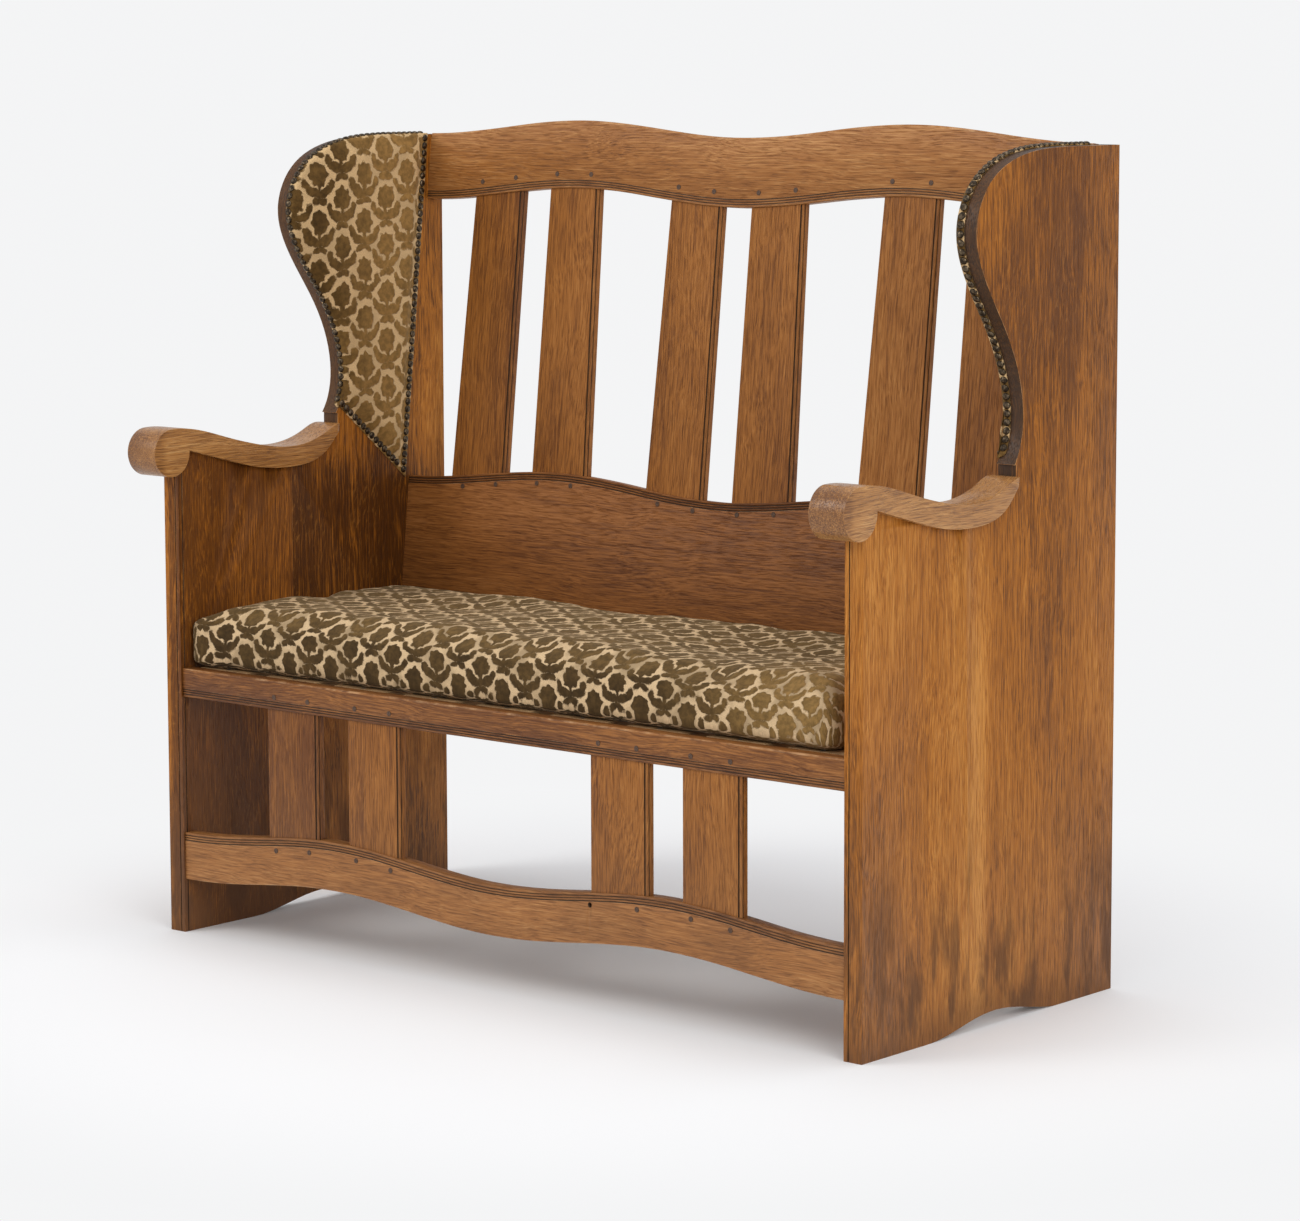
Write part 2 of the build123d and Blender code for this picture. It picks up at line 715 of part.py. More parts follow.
def wing_outline(growth):
    """Area of the wing, grown past its curved edge and its straight top."""
    with BuildSketch(left_inner_face) as outline:
        with BuildLine():
            edge = Spline(*wing_edge_points(growth))
            Polyline(
                edge @ 1, (end_rear, wing_top + growth), (end_rear, seat_top),
                ((edge @ 0).X, seat_top), edge @ 0,
            )
        make_face()
    return outline.sketch


def pad_window(border):
    """Area inside the nail lines, grown by border and open above the wing's top."""
    above_wing = wing_top + pad_border
    with BuildSketch(left_inner_face) as window:
        with BuildLine():
            Polyline(
                nail_line_low, (back_front_y(above_wing) - pad_border, above_wing),
                (end_front, above_wing), (end_front, nail_line_foot[1]), nail_line_foot,
                close=True,
            )
        make_face()
        offset(amount=border, kind=Kind.INTERSECTION)
    return window.sketch


# Close nails round the pad: along the wing's edge, down the back and along the foot
def row_planes(start, end):
    """Places of nails along a straight line on the hem, facing the seat."""
    count = int(hypot(end[0] - start[0], end[1] - start[1]) / nail_pitch)
    places = []
    for place in range(count + 1):
        share = place / count
        along = start[0] + (end[0] - start[0]) * share
        height = start[1] + (end[1] - start[1]) * share
        places.append(Plane(origin=(-inner_half + pad_skin, along, height), z_dir=(1, 0, 0)))
    return places


def edge_planes():
    """Places of nails along the wing's curved edge, each square to the edge."""
    count = int(wing_run.length / nail_pitch)
    nail_share = nail_dome_radius * cos(radians(nail_cap_latitude)) / wing_run.length
    places = []
    for place in range(count + 1):
        share = place / count
        spot = wing_run @ share
        run = wing_run % share
        if spot.Z > nail_line_foot[1] + nail_pitch / 2:
            outward = Vector(0, -run.Z, run.Y)
            # where the edge is hollow, a nail rests on its rim
            rim_before = (wing_run @ (share - nail_share) - spot).dot(outward)
            rim_after = (wing_run @ min(share + nail_share, 1) - spot).dot(outward)
            lift = pad_wrap_skin + max(rim_before, rim_after, 0) + nail_seat_play
            seat = spot + outward * lift - Vector(inner_half + nail_line_inset, 0, 0)
            places.append(Plane(origin=seat, z_dir=outward))
    straight = nail_line_high[0] - wing_points[-1][0]
    for place in range(1, int(straight / nail_pitch) + 1):
        along = wing_points[-1][0] + place * nail_pitch
        seat = (-inner_half - nail_line_inset, along, wing_top + pad_wrap_skin)
        places.append(Plane(origin=seat, z_dir=(0, 0, 1)))
    return places


row_top = (nail_line_high[0] - nail_pitch * tan(rake), wing_top - nail_pitch / 2)
row_foot = (
    nail_line_low[0] - nail_pitch * (1 + nail_row_gap),
    nail_line_low[1] + foot_slope * nail_pitch * (1 + nail_row_gap),
)
with BuildPart() as left_wing_nails:
    rear_row = row_planes(nail_line_low, row_top)
    foot_row = row_planes(row_foot, nail_line_foot)
    with Locations(*edge_planes(), *rear_row, *foot_row):
        Sphere(nail_dome_radius, arc_size1=nail_cap_latitude, align=standing)

def rounded_corner(before, corner, after, radius):
    """Points of an arc that rounds the corner between two straight runs."""
    back = (Vector(*before) - Vector(*corner)).normalized()
    onward = (Vector(*after) - Vector(*corner)).normalized()
    half_angle = radians(back.get_angle(onward)) / 2
    middle = Vector(*corner) + (back + onward).normalized() * (radius / sin(half_angle))
    start = Vector(*corner) + back * (radius / tan(half_angle)) - middle
    end = Vector(*corner) + onward * (radius / tan(half_angle)) - middle
    sweep_angle = pi - 2 * half_angle
    points = []
    for step in range(crown_corner_steps + 1):
        turned = sweep_angle * step / crown_corner_steps
        spot = middle + start * (sin(sweep_angle - turned) / sin(sweep_angle))
        spot += end * (sin(turned) / sin(sweep_angle))
        points.append((spot.X, spot.Y))
    return points


def points_between(start, end, steps):
    """Evenly spaced points strictly between two others."""
    return [
        tuple(a + (b - a) * step / steps for a, b in zip(start, end))
        for step in range(1, steps)
    ]


def crown_section(plane, inset):
    """Section of the padded crown at an inset from the nails' lines, with rounded corners."""
    foot = nail_line_foot[1] + 2 * pad_crown_inset
    below_foot = [spot for spot in wing_edge_points(-pad_crown_inset) if spot[1] <= foot]
    front = wing_edge_points(-inset)[len(below_foot):]
    top = wing_top - inset
    top_corner = (back_front_y(top) - pad_border - inset, top)
    tail = pad_tail_height + inset * (foot_slope + hypot(1, foot_slope))
    tail_corner = (back_front_y(tail) - pad_border - inset, tail)
    radius = pad_corner_radius + pad_crown_inset - inset
    foot_spot = (front[0][0], tail + foot_slope * (tail_corner[0] - front[0][0]))
    top_arc = rounded_corner(front[-1], top_corner, tail_corner, radius)
    tail_arc = rounded_corner(top_corner, tail_corner, foot_spot, radius)
    rear = points_between(top_arc[-1], tail_arc[0], crown_rear_steps)
    slope = points_between(tail_arc[-1], foot_spot, crown_slope_steps)
    top_spot = ((front[-1][0] + top_arc[0][0]) / 2, top)
    with BuildSketch(plane) as section:
        with BuildLine():
            Spline(*front, top_spot, *top_arc, *rear, *tail_arc, *slope, periodic=True)
        make_face()
    return section.sketch


# Wing pad: a thin hem under the nails, a padded crown, and a wrap over the wing's edge
with BuildPart() as left_wing_pad:
    hem = wing_outline(pad_wrap_skin) & pad_window(pad_hem)
    extrude(hem, amount=pad_skin)
    wall_height = pad_loft - pad_edge_radius
    extrude(crown_section(left_inner_face, pad_crown_inset), amount=wall_height)
    roll_sections = []
    for step in range(crown_roll_steps + 1):
        turned = pi / 2 * step / crown_roll_steps
        roll_height = wall_height + pad_edge_radius * sin(turned)
        roll_inset = pad_crown_inset + pad_edge_radius * (1 - cos(turned))
        roll_sections.append(crown_section(left_inner_face.offset(roll_height), roll_inset))
    loft(roll_sections)
    wrap = hem - wing_outline(0)
    extrude(wrap, amount=-pad_wrap_width)

# Seat cushion: a plan with drawn-in sides, cut by a crowned section each way
cushion_left = -inner_half + cushion_side_gap
cushion_right = inner_half - cushion_far_gap
cushion_front = end_front + cushion_front_setback
cushion_base = seat_top + cushion_lift
cushion_top = cushion_base + cushion_thickness
cushion_back_low = back_front_y(cushion_base) - cushion_back_gap
cushion_back_high = back_front_y(cushion_top) - cushion_back_gap
cushion_middle = (cushion_left + cushion_right) / 2
cushion_depth_middle = (cushion_front + cushion_back_high) / 2

with BuildPart() as cushion:
    with BuildSketch(Plane.XY.offset(cushion_base)) as cushion_plan:
        with BuildLine():
            ThreePointArc(
                (cushion_left, cushion_front),
                (cushion_middle, cushion_front + cushion_draw / 2),
                (cushion_right, cushion_front),
            )
            ThreePointArc(
                (cushion_right, cushion_front),
                (cushion_right - cushion_draw, cushion_depth_middle),
                (cushion_right, cushion_back_high),
            )
            Line((cushion_right, cushion_back_high), (cushion_left, cushion_back_high))
            ThreePointArc(
                (cushion_left, cushion_back_high),
                (cushion_left + cushion_draw, cushion_depth_middle),
                (cushion_left, cushion_front),
            )
        make_face()
        fillet(cushion_plan.vertices(), cushion_front_corner)
    extrude(cushion_plan.sketch, amount=cushion_thickness + cushion_crown)
    with BuildSketch(Plane.YZ) as side_section:
        with BuildLine():
            Line((cushion_front, cushion_base), (cushion_back_low, cushion_base))
            Line((cushion_back_low, cushion_base), (cushion_back_high, cushion_top))
            ThreePointArc(
                (cushion_back_high, cushion_top),
                (cushion_depth_middle, cushion_top + cushion_crown),
                (cushion_front, cushion_top),
            )
            Line((cushion_front, cushion_top), (cushion_front, cushion_base))
        make_face()
        fillet(side_section.vertices().group_by(Axis.Y)[-1], cushion_edge_radius)
        fillet(side_section.vertices().group_by(Axis.Y)[0], cushion_foot_radius)
    extrude(side_section.sketch, amount=inner_width, both=True, mode=Mode.INTERSECT)
    with BuildSketch(Plane.XZ) as front_section:
        with BuildLine():
            Polyline(
                (cushion_left, cushion_top), (cushion_left, cushion_base),
                (cushion_right, cushion_base), (cushion_right, cushion_top),
            )
            ThreePointArc(
                (cushion_right, cushion_top),
                (cushion_middle, cushion_top + cushion_crown),
                (cushion_left, cushion_top),
            )
        make_face()
        fillet(front_section.vertices().group_by(Axis.Y)[-1], cushion_edge_radius)
        fillet(front_section.vertices().group_by(Axis.Y)[0], cushion_foot_radius)
    extrude(front_section.sketch, amount=total_depth, both=True, mode=Mode.INTERSECT)

# The right end mirrors the left one
with BuildPart() as right_end_front_board:
    mirror(left_end_front_board.part, about=Plane.YZ)
with BuildPart() as right_end_rear_board:
    mirror(left_end_rear_board.part, about=Plane.YZ)
with BuildPart() as right_end_dowels:
    mirror(left_end_dowels.part, about=Plane.YZ)
with BuildPart() as right_arm:
    mirror(left_arm.part, about=Plane.YZ)
with BuildPart() as right_arm_dowels:
    mirror(left_arm_dowels.part, about=Plane.YZ)
with BuildPart() as right_wing_pad:
    mirror(left_wing_pad.part, about=Plane.YZ)
with BuildPart() as right_wing_nails:
    mirror(left_wing_nails.part, about=Plane.YZ)

pieces = {
    "left_end_front_board": left_end_front_board,
    "left_end_rear_board": left_end_rear_board,
    "left_end_dowels": left_end_dowels,
    "left_arm": left_arm,
    "left_arm_dowels": left_arm_dowels,
    "left_wing_pad": left_wing_pad,
    "left_wing_nails": left_wing_nails,
    "right_end_front_board": right_end_front_board,
    "right_end_rear_board": right_end_rear_board,
    "right_end_dowels": right_end_dowels,
    "right_arm": right_arm,
    "right_arm_dowels": right_arm_dowels,
    "right_wing_pad": right_wing_pad,
    "right_wing_nails": right_wing_nails,
    "back_top_rail": back_top_rail,
    "back_lower_board": back_lower_board,
    "back_rail_pegs": back_rail_pegs,
    "back_board_pegs": back_board_peg_group,
    "seat_front_rail": seat_front_rail,
    "seat_rail_pegs": seat_rail_peg_group,
    "front_lower_rail": front_lower_rail,
    "lower_rail_pegs": lower_rail_peg_group,
    "seat_rear_rail": seat_rear_rail,
    "seat_front_ledger": seat_front_ledger,
    "seat_rear_ledger": seat_rear_ledger,
    "ledger_screws": ledger_screws,
    "seat_slat_screws": seat_slat_screws,
    "cushion": cushion,
    **back_slats,
    **front_slats,
    **deck_slats,
}

os.makedirs("parts", exist_ok=True)
for name, piece in pieces.items():
    piece.part.label = name
    export_step(piece.part, f"parts/{name}.step")
    print(name, len(piece.part.solids()), round(piece.part.volume))
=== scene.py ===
import math

import bmesh
import bpy
import numpy as np
from mathutils import Matrix, Vector, noise


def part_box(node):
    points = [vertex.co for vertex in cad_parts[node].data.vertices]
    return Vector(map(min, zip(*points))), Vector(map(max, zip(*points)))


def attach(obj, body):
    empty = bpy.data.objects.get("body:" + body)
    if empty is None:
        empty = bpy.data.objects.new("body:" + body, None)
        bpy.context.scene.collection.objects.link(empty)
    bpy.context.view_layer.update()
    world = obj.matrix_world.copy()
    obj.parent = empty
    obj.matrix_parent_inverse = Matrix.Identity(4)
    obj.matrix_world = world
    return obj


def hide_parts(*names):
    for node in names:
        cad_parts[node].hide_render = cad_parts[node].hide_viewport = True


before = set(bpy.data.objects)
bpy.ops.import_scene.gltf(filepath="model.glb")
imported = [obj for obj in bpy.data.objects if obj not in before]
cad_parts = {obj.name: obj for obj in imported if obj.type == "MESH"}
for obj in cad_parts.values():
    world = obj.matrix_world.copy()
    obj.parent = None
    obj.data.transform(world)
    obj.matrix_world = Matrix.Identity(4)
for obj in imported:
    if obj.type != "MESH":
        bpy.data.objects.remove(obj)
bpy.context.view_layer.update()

# Oak settle with winged, upholstered ends, a raked slatted back and a loose velvet cushion.
# X runs along the seat, Y from front to back, Z up. Lengths are in metres.

# Sizes read from the frame
outer_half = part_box("right_end_rear_board")[1].x
end_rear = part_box("right_end_rear_board")[1].y
overall_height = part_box("back_top_rail")[1].z
seat_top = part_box("seat_front_rail")[1].z
front_face_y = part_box("seat_front_rail")[0].y
end_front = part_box("right_end_front_board")[0].y
seam_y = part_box("right_end_rear_board")[0].y

# Sizes that the frame does not name
end_thickness = 0.028
rake = math.radians(6.2)
swells = 2
swell_rise = 0.021
back_thickness = 0.019
front_thickness = 0.022
seat_rail_height = 0.040
tenon_length = 0.014
tenon_shoulder = 0.012
slat_thickness = 0.012
slat_setback = 0.003
slat_housing = 0.014
pad_skin = 0.002

inner_half = outer_half - end_thickness
seat_rail_low = seat_top - seat_rail_height
inner_width = 2 * inner_half
back_top_y = end_rear - back_thickness * math.cos(rake)

# Planes of the back's face and the front rails' face: origin, upward run and outward normal
back_plane = (
    Vector((0, back_top_y, overall_height)),
    Vector((0, math.sin(rake), math.cos(rake))),
    Vector((0, -math.cos(rake), math.sin(rake))),
)
front_plane = (Vector((0, front_face_y, 0)), Vector((0, 0, 1)), Vector((0, -1, 0)))

along_x, along_y, along_z = (1, 0, 0), (0, 1, 0), (0, 0, 1)

# Finishes of the faces around a board's section
flat, eased, sunk, reed = 0, 1, 2, 3
# Painted shade: the share of the dark recess colour in grooves and along reeds
recess_of = {sunk: 1.0, reed: 0.18}


def swell(across):
    """Rise of a scalloped edge above its dips."""
    return swell_rise * (1 - math.cos(2 * math.pi * swells * across / inner_width)) / 2


def on_plane(plane, across, rise, depth):
    """A spot across and up a plane, at a depth behind it."""
    origin, upward, outward = plane
    return origin + Vector((across, 0, 0)) + rise * upward - depth * outward


def wander(place, seed, scale):
    """Smooth noise between about -1 and 1 along a board."""
    return noise.noise(Vector((place * scale, seed * 3.7, seed * 1.3)))


# Meshes

def in_scene(name, data):
    """A new object in the scene."""
    item = bpy.data.objects.new(name, data)
    bpy.context.scene.collection.objects.link(item)
    return item


def modified(mesh, kind, entries=(), **settings):
    """The plain mesh that a modifier makes of a mesh; entries go to its node tree's inputs."""
    holder = in_scene("holder", mesh)
    change = holder.modifiers.new("change", kind)
    for label, value in settings.items():
        setattr(change, label, value)
    for label, value in entries:
        change[label] = value
    bpy.context.view_layer.update()
    shown = holder.evaluated_get(bpy.context.evaluated_depsgraph_get())
    result = bpy.data.meshes.new_from_object(shown)
    bpy.data.objects.remove(holder)
    return result


def rows_of(items, label):
    """The vectors of a mesh's vertices or normals, one in each row."""
    rows = np.empty(len(items) * 3)
    items.foreach_get(label, rows)
    return rows.reshape(-1, 3)


def store(mesh, name, kind, values):
    """Keeps a number or a vector for each vertex of a mesh."""
    layer = mesh.attributes.new(name, kind, "POINT")
    layer.data.foreach_set("value" if kind == "FLOAT" else "vector", values.ravel())


def finished_mesh(form, name, crisp=True):
    """Mesh of a form with its faces outward and, if wanted, its flats kept crisp."""
    bmesh.ops.recalc_face_normals(form, faces=form.faces)
    mesh = bpy.data.meshes.new(name)
    form.to_mesh(mesh)
    form.free()
    mesh.shade_smooth()
    if crisp:
        mesh.set_sharp_from_angle(angle=math.radians(38))
    return mesh


def face_layers(form):
    """Face layers for worn arrises, and for sunk places darkened with painted shade or grime."""
    return form.faces.layers.float.new("arris"), form.faces.layers.float.new("recess")


def joined_rings(form, rings):
    """Rows of vertices round closed rings, and the faces between them with their places."""
    rows = [[form.verts.new(spot) for spot in ring] for ring in rings]
    strips = []
    for low, high in zip(rows, rows[1:]):
        for place in range(len(low)):
            onward = (place + 1) % len(low)
            corners = (low[place], low[onward], high[onward], high[place])
            strips.append((place, form.faces.new(corners)))
    form.faces.new(rows[0][::-1])
    return rows, strips


def lofted_mesh(name, rings):
    """Closed mesh through rings of (point, finish of the strip after it)."""
    form = bmesh.new()
    arris, recess = face_layers(form)
    rows, strips = joined_rings(form, [[spot for spot, _ in ring] for ring in rings])
    for place, face in strips:
        finish = rings[-1][place][1]
        face[arris] = float(finish == eased)
        face[recess] = recess_of.get(finish, 0.0)
    form.faces.new(rows[-1])
    return finished_mesh(form, name)


def on_board_side(edge):
    """Edges inside the broad sides of an end, which have mortises in them."""
    return all(abs(face.normal.x) > 0.99 for face in edge.link_faces)


def merged_form(node):
    """A CAD node's own shape, with its loose triangles joined and its plain flats made whole."""
    form = bmesh.new()
    form.from_mesh(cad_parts[node].data)
    bmesh.ops.remove_doubles(form, verts=form.verts, dist=1e-5)
    edges = [edge for edge in form.edges if not on_board_side(edge)]
    bmesh.ops.dissolve_limit(
        form, angle_limit=math.radians(0.6), verts=form.verts, edges=edges, delimit={"NORMAL"}
    )
    return form


def eased_mesh(node, easings, sunken=None):
    """A CAD node's shape with its arrises eased; easings are (test, width, steps) in turn."""
    form = merged_form(node)
    arris, recess = face_layers(form)
    for chosen, width, steps in easings:
        edges = [
            edge for edge in form.edges
            if len(edge.link_faces) == 2 and edge.is_convex
            and edge.calc_face_angle(0) > math.radians(40)
            and not any(face[arris] for face in edge.link_faces) and chosen(edge)
        ]
        made = bmesh.ops.bevel(
            form, geom=edges, offset=width, offset_type="OFFSET", segments=steps, profile=0.5,
            affect="EDGES", clamp_overlap=True, loop_slide=True,
        )
        for face in made["faces"]:
            face[arris] = 1.0
    if sunken:
        for face in form.faces:
            if not face[arris]:
                face[recess] = sunken(face)
    return finished_mesh(form, node + "_eased")


def mark_wood(mesh, along, across, seed, tone):
    """Gives a board its own place in the grain, and its own shade."""
    along, across = Vector(along), Vector(across)
    turn = np.array([along, across, along.cross(across)])
    shift = np.random.default_rng(seed).uniform(-4, 4, 3)
    store(mesh, "grain_at", "FLOAT_VECTOR", rows_of(mesh.vertices, "co") @ turn.T + shift)
    store(mesh, "tone", "FLOAT", np.full(len(mesh.vertices), tone))


def new_piece(name, mesh, material, body, slot, *nodes):
    """A piece of the settle in the scene, standing for its CAD nodes."""
    mesh.materials.clear()
    mesh.materials.append(material)
    piece = in_scene(name, mesh)
    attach(piece, body)
    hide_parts(*nodes)
    return piece


# Node building

class Shade:
    """A value in a node tree; sums, differences and products with it become Math nodes."""

    def __init__(self, socket):
        self.socket, self.tree = socket, socket.id_data

    def __add__(self, other):
        return maths("ADD", self, other)

    def __sub__(self, other):
        return maths("SUBTRACT", self, other)

    def __rsub__(self, other):
        return maths("SUBTRACT", other, self)

    def __mul__(self, other):
        return maths("MULTIPLY", self, other)


def feed(socket, value):
    """Links a value to an input, or sets the input's own value."""
    if isinstance(value, Shade):
        value.tree.links.new(value.socket, socket)
    else:
        socket.default_value = value


def added(kind, values, output=0, tree=None, **settings):
    """An output of a new node, which stands in the tree of the values that feed it."""
    tree = tree or next(value.tree for value in values.values() if isinstance(value, Shade))
    node = tree.nodes.new(kind)
    for label, setting in settings.items():
        setattr(node, label, setting)
    for key, value in values.items():
        feed(node.inputs[key], value)
    return Shade(node.outputs[output])


def maths(operation, *values, clamp=False):
    inputs = dict(enumerate(values))
    return added("ShaderNodeMath", inputs, operation=operation, use_clamp=clamp)


def vectors(operation, *values, output=0):
    return added("ShaderNodeVectorMath", dict(enumerate(values)), output, operation=operation)


def noise_at(place, scale, detail=3.0, roughness=0.5):
    """Noise at a place, with one scale or its own scale along each axis."""
    scales = scale if isinstance(scale, tuple) else (scale, scale, scale)
    scaled = vectors("MULTIPLY", place, scales)
    inputs = {"Vector": scaled, "Scale": 1.0, "Detail": detail, "Roughness": roughness}
    return added("ShaderNodeTexNoise", inputs)


def eased_step(value, low, high, out_low=0.0, out_high=1.0):
    inputs = dict(enumerate((value, low, high, out_low, out_high)))
    return added("ShaderNodeMapRange", inputs, interpolation_type="SMOOTHSTEP")


def blended(factor, first, second, blend="MIX"):
    inputs = {0: factor, 6: first, 7: second}
    return added("ShaderNodeMix", inputs, 2, data_type="RGBA", blend_type=blend)


def split(vector):
    outputs = added("ShaderNodeSeparateXYZ", {0: vector}).socket.node.outputs
    return [Shade(output) for output in outputs]


def joined(x, y, z):
    return added("ShaderNodeCombineXYZ", {0: x, 1: y, 2: z})


def attribute(tree, name, output="Fac"):
    return added("ShaderNodeAttribute", {}, output, tree, attribute_name=name)


def object_place(tree):
    return added("ShaderNodeTexCoord", {}, "Object", tree)


def new_tree(name, tree_kind, inputs, outputs):
    """An empty node group with its inputs, its outputs and the identifiers of its inputs.

    Inputs and outputs are the names of sockets by their kind.
    """
    tree = bpy.data.node_groups.new(name, tree_kind)
    names = {}
    for side, kinds in (("INPUT", inputs), ("OUTPUT", outputs)):
        for kind, labels in kinds.items():
            for label in labels:
                socket = tree.interface.new_socket(
                    label, in_out=side, socket_type="NodeSocket" + kind
                )
                names[label] = socket.identifier
    given = {socket.name: Shade(socket) for socket in tree.nodes.new("NodeGroupInput").outputs}
    return tree, given, tree.nodes.new("NodeGroupOutput").inputs, names


def surface_group(name, **inputs):
    """An empty node group that gives the colour, roughness and height of a surface."""
    outputs = {"Color": ("Color",), "Float": ("Roughness", "Height")}
    return new_tree(name, "ShaderNodeTree", inputs, outputs)[:3]


def plain_material(name, **constants):
    """A material, its tree and its Principled shader, whose constants are set on the shader."""
    material = bpy.data.materials.new(name)
    material.use_nodes = True
    shader = material.node_tree.nodes["Principled BSDF"]
    for label, value in constants.items():
        shader.inputs[label.replace("_", " ")].default_value = value
    return material, material.node_tree, shader


def bumped(shader, height, bump):
    """Bump from a height, in the shader's normal."""
    distance, strength = bump
    inputs = {"Height": height, "Distance": distance, "Strength": strength}
    feed(shader.inputs["Normal"], added("ShaderNodeBump", inputs))


def surfaced(shader, group, bump, **values):
    """Gives a shader the colour, roughness and bump of a surface group fed by some values."""
    inputs = {label.replace("_", " "): value for label, value in values.items()}
    outputs = added("ShaderNodeGroup", inputs, node_tree=group).socket.node.outputs
    feed(shader.inputs["Base Color"], Shade(outputs["Color"]))
    feed(shader.inputs["Roughness"], Shade(outputs["Roughness"]))
    bumped(shader, Shade(outputs["Height"]), bump)


# Wood

pore_shade = (0.38, 0.30, 0.24, 1)
bare_wood = (0.62, 0.45, 0.28, 1)
floor_dirt = (0.088, 0.032, 0.011, 1)
floor_dust = (0.42, 0.26, 0.15, 1)
# Dark recess colour: painted shade in grooves, along reeds and in the peg hole, and grime on the
# wings' bare edges
recess_shade_and_edge_grime = (0.028, 0.022, 0.017, 1)
dirt_height = 0.36

# Distance and strength of the bumps
grain_bump = (0.0006, 0.8)
pore_bump = (0.0002, 1.0)
metal_bump = (0.0002, 0.6)
pile_bump = (0.0011, 0.9)


def oak_grain():
    """Waxed oak: growth streaks, pores, ray flecks, floor dirt, worn arrises, and recesses darkened
    with painted shade and grime.
    """
    tree, given, out = surface_group(
        "oak grain", Vector=("Grain", "Place"), Color=("Light", "Middle", "Dark"),
        Float=("Tone", "Contrast", "Fleck", "Wear", "Arris", "Recess", "Polish", "Dirt"),
    )
    grain, place, light = given["Grain"], given["Place"], given["Light"]
    drift = (noise_at(grain, (2.4, 7, 7)) - 0.5) * 0.05
    bent = vectors("ADD", grain, joined(0.0, drift, drift))
    bands = noise_at(bent, (3.5, 70, 70), 5.0, 0.62)
    lines = noise_at(bent, (15, 500, 500), 3.0, 0.65)
    broad = noise_at(grain, (1.7, 5.5, 5.5), 3.0, 0.55)
    pores = eased_step(noise_at(bent, (38, 720, 720), 1.0), 0.52, 0.68)

    run, side, depth = split(bent)
    slant = joined(run + side * 0.7, side - run * 0.35, depth)
    ribbons = eased_step(noise_at(slant, (60, 230, 80), 2.0, 0.55), 0.56, 0.68)
    patches = eased_step(noise_at(grain, (6, 18, 18), 2.0), 0.40, 0.60)
    flecks = maths("MULTIPLY", ribbons * patches, given["Fleck"], clamp=True)

    swing = (bands - 0.5) * 0.42 + (lines - 0.5) * 1.35 + (broad - 0.5) * 0.95
    level = swing * given["Contrast"] + 0.5 + given["Tone"]
    colour = blended(eased_step(level, 0.05, 0.55), given["Dark"], given["Middle"])
    colour = blended(eased_step(level, 0.45, 1.0), colour, light)
    colour = blended(flecks, colour, blended(0.38, colour, light))
    colour = blended(pores * 0.48, colour, blended(1.0, colour, pore_shade, "MULTIPLY"))

    rubbed = eased_step(noise_at(place, 38, 3.0, 0.6), 0.40, 0.66)
    worn = maths("MULTIPLY", given["Arris"] * given["Wear"], rubbed, clamp=True)
    colour = blended(worn, colour, blended(0.35, light, bare_wood))

    height_above = split(place)[2]
    low_share = eased_step(height_above, 0.0, dirt_height, 1.0, 0.0)
    cloudy = eased_step(noise_at(grain, (7, 26, 26), 4.0, 0.6), 0.43, 0.62, 0.0, 0.90)
    foot_dirt = eased_step(height_above + broad * -0.07, -0.03, 0.03, 0.55, 0.0)
    dirt = maths("MAXIMUM", foot_dirt, low_share * cloudy * given["Dirt"])
    colour = blended(dirt, colour, floor_dirt)
    colour = blended(low_share * 0.10, colour, floor_dust)
    # Recesses take the dark colour: painted shade in grooves and holes, grime on the wings' bare
    # edges
    feed(out["Color"], blended(given["Recess"] * 0.84, colour, recess_shade_and_edge_grime))

    rough = (broad - 0.5) * 0.35 + 0.52 - given["Polish"] + pores * 0.16
    feed(out["Roughness"], maths("ADD", rough, dirt * 0.25, clamp=True))
    feed(out["Height"], lines * 0.35 + bands * 0.4 - pores * 0.5)
    return tree


oak_group = oak_grain()


def oak_material(
    name, tints, contrast, fleck, wear, polish, gloss, extra_tone=None, dirt=0.35
):
    """Oak in three tints, from light to dark, with an extra tone from the object's place."""
    material, tree, shader = plain_material(name, Roughness=0.5, Specular_IOR_Level=gloss)
    light, middle, dark = ((*tint, 1) for tint in tints)
    tone, place = attribute(tree, "tone"), object_place(tree)
    if extra_tone:
        tone = tone + extra_tone(place)
    surfaced(
        shader, oak_group, grain_bump, Grain=attribute(tree, "grain_at", "Vector"),
        Place=place, Light=light, Middle=middle, Dark=dark, Tone=tone, Contrast=contrast,
        Fleck=fleck, Wear=wear, Arris=attribute(tree, "arris"),
        Recess=attribute(tree, "recess"), Polish=polish, Dirt=dirt,
    )
    return material


def pale_seam(place):
    """Paler wood beside the seam of the right end, and browner wood high on its wing."""
    _, along, height = split(place)
    beside = eased_step(along, -0.034, -0.008) * eased_step(along, -0.004, 0.030, 1.0, 0.0)
    streak = beside * eased_step(height, 0.45, 0.72, 0.34, 0.0)
    return streak + eased_step(height, 0.60, 0.95, -0.06, -0.19)


def handled_drum(place):
    """The end grain at the front of an arm's drum is darker."""
    return eased_step(split(place)[1], -0.288, -0.268, -0.24, 0.0)


def shaded_inside(place):
    """Painted shade: the left end's wood is darker on its inner side, where the rest of the settle
    shades it.
    """
    return eased_step(split(place)[0], 0.003 - outer_half, 0.012 - outer_half, 0.0, -0.35)


def shaded_below(place):
    """Painted shade, with some darker stain: the left end's rear board is darker still on its inner
    side, below its upholstery.
    """
    height = split(place)[2]
    low = eased_step(height, 0.56, 0.70, 1.15, 0.22)
    return shaded_inside(place) * (low * eased_step(height, seat_rail_low, seat_top, 0.40, 1.0))


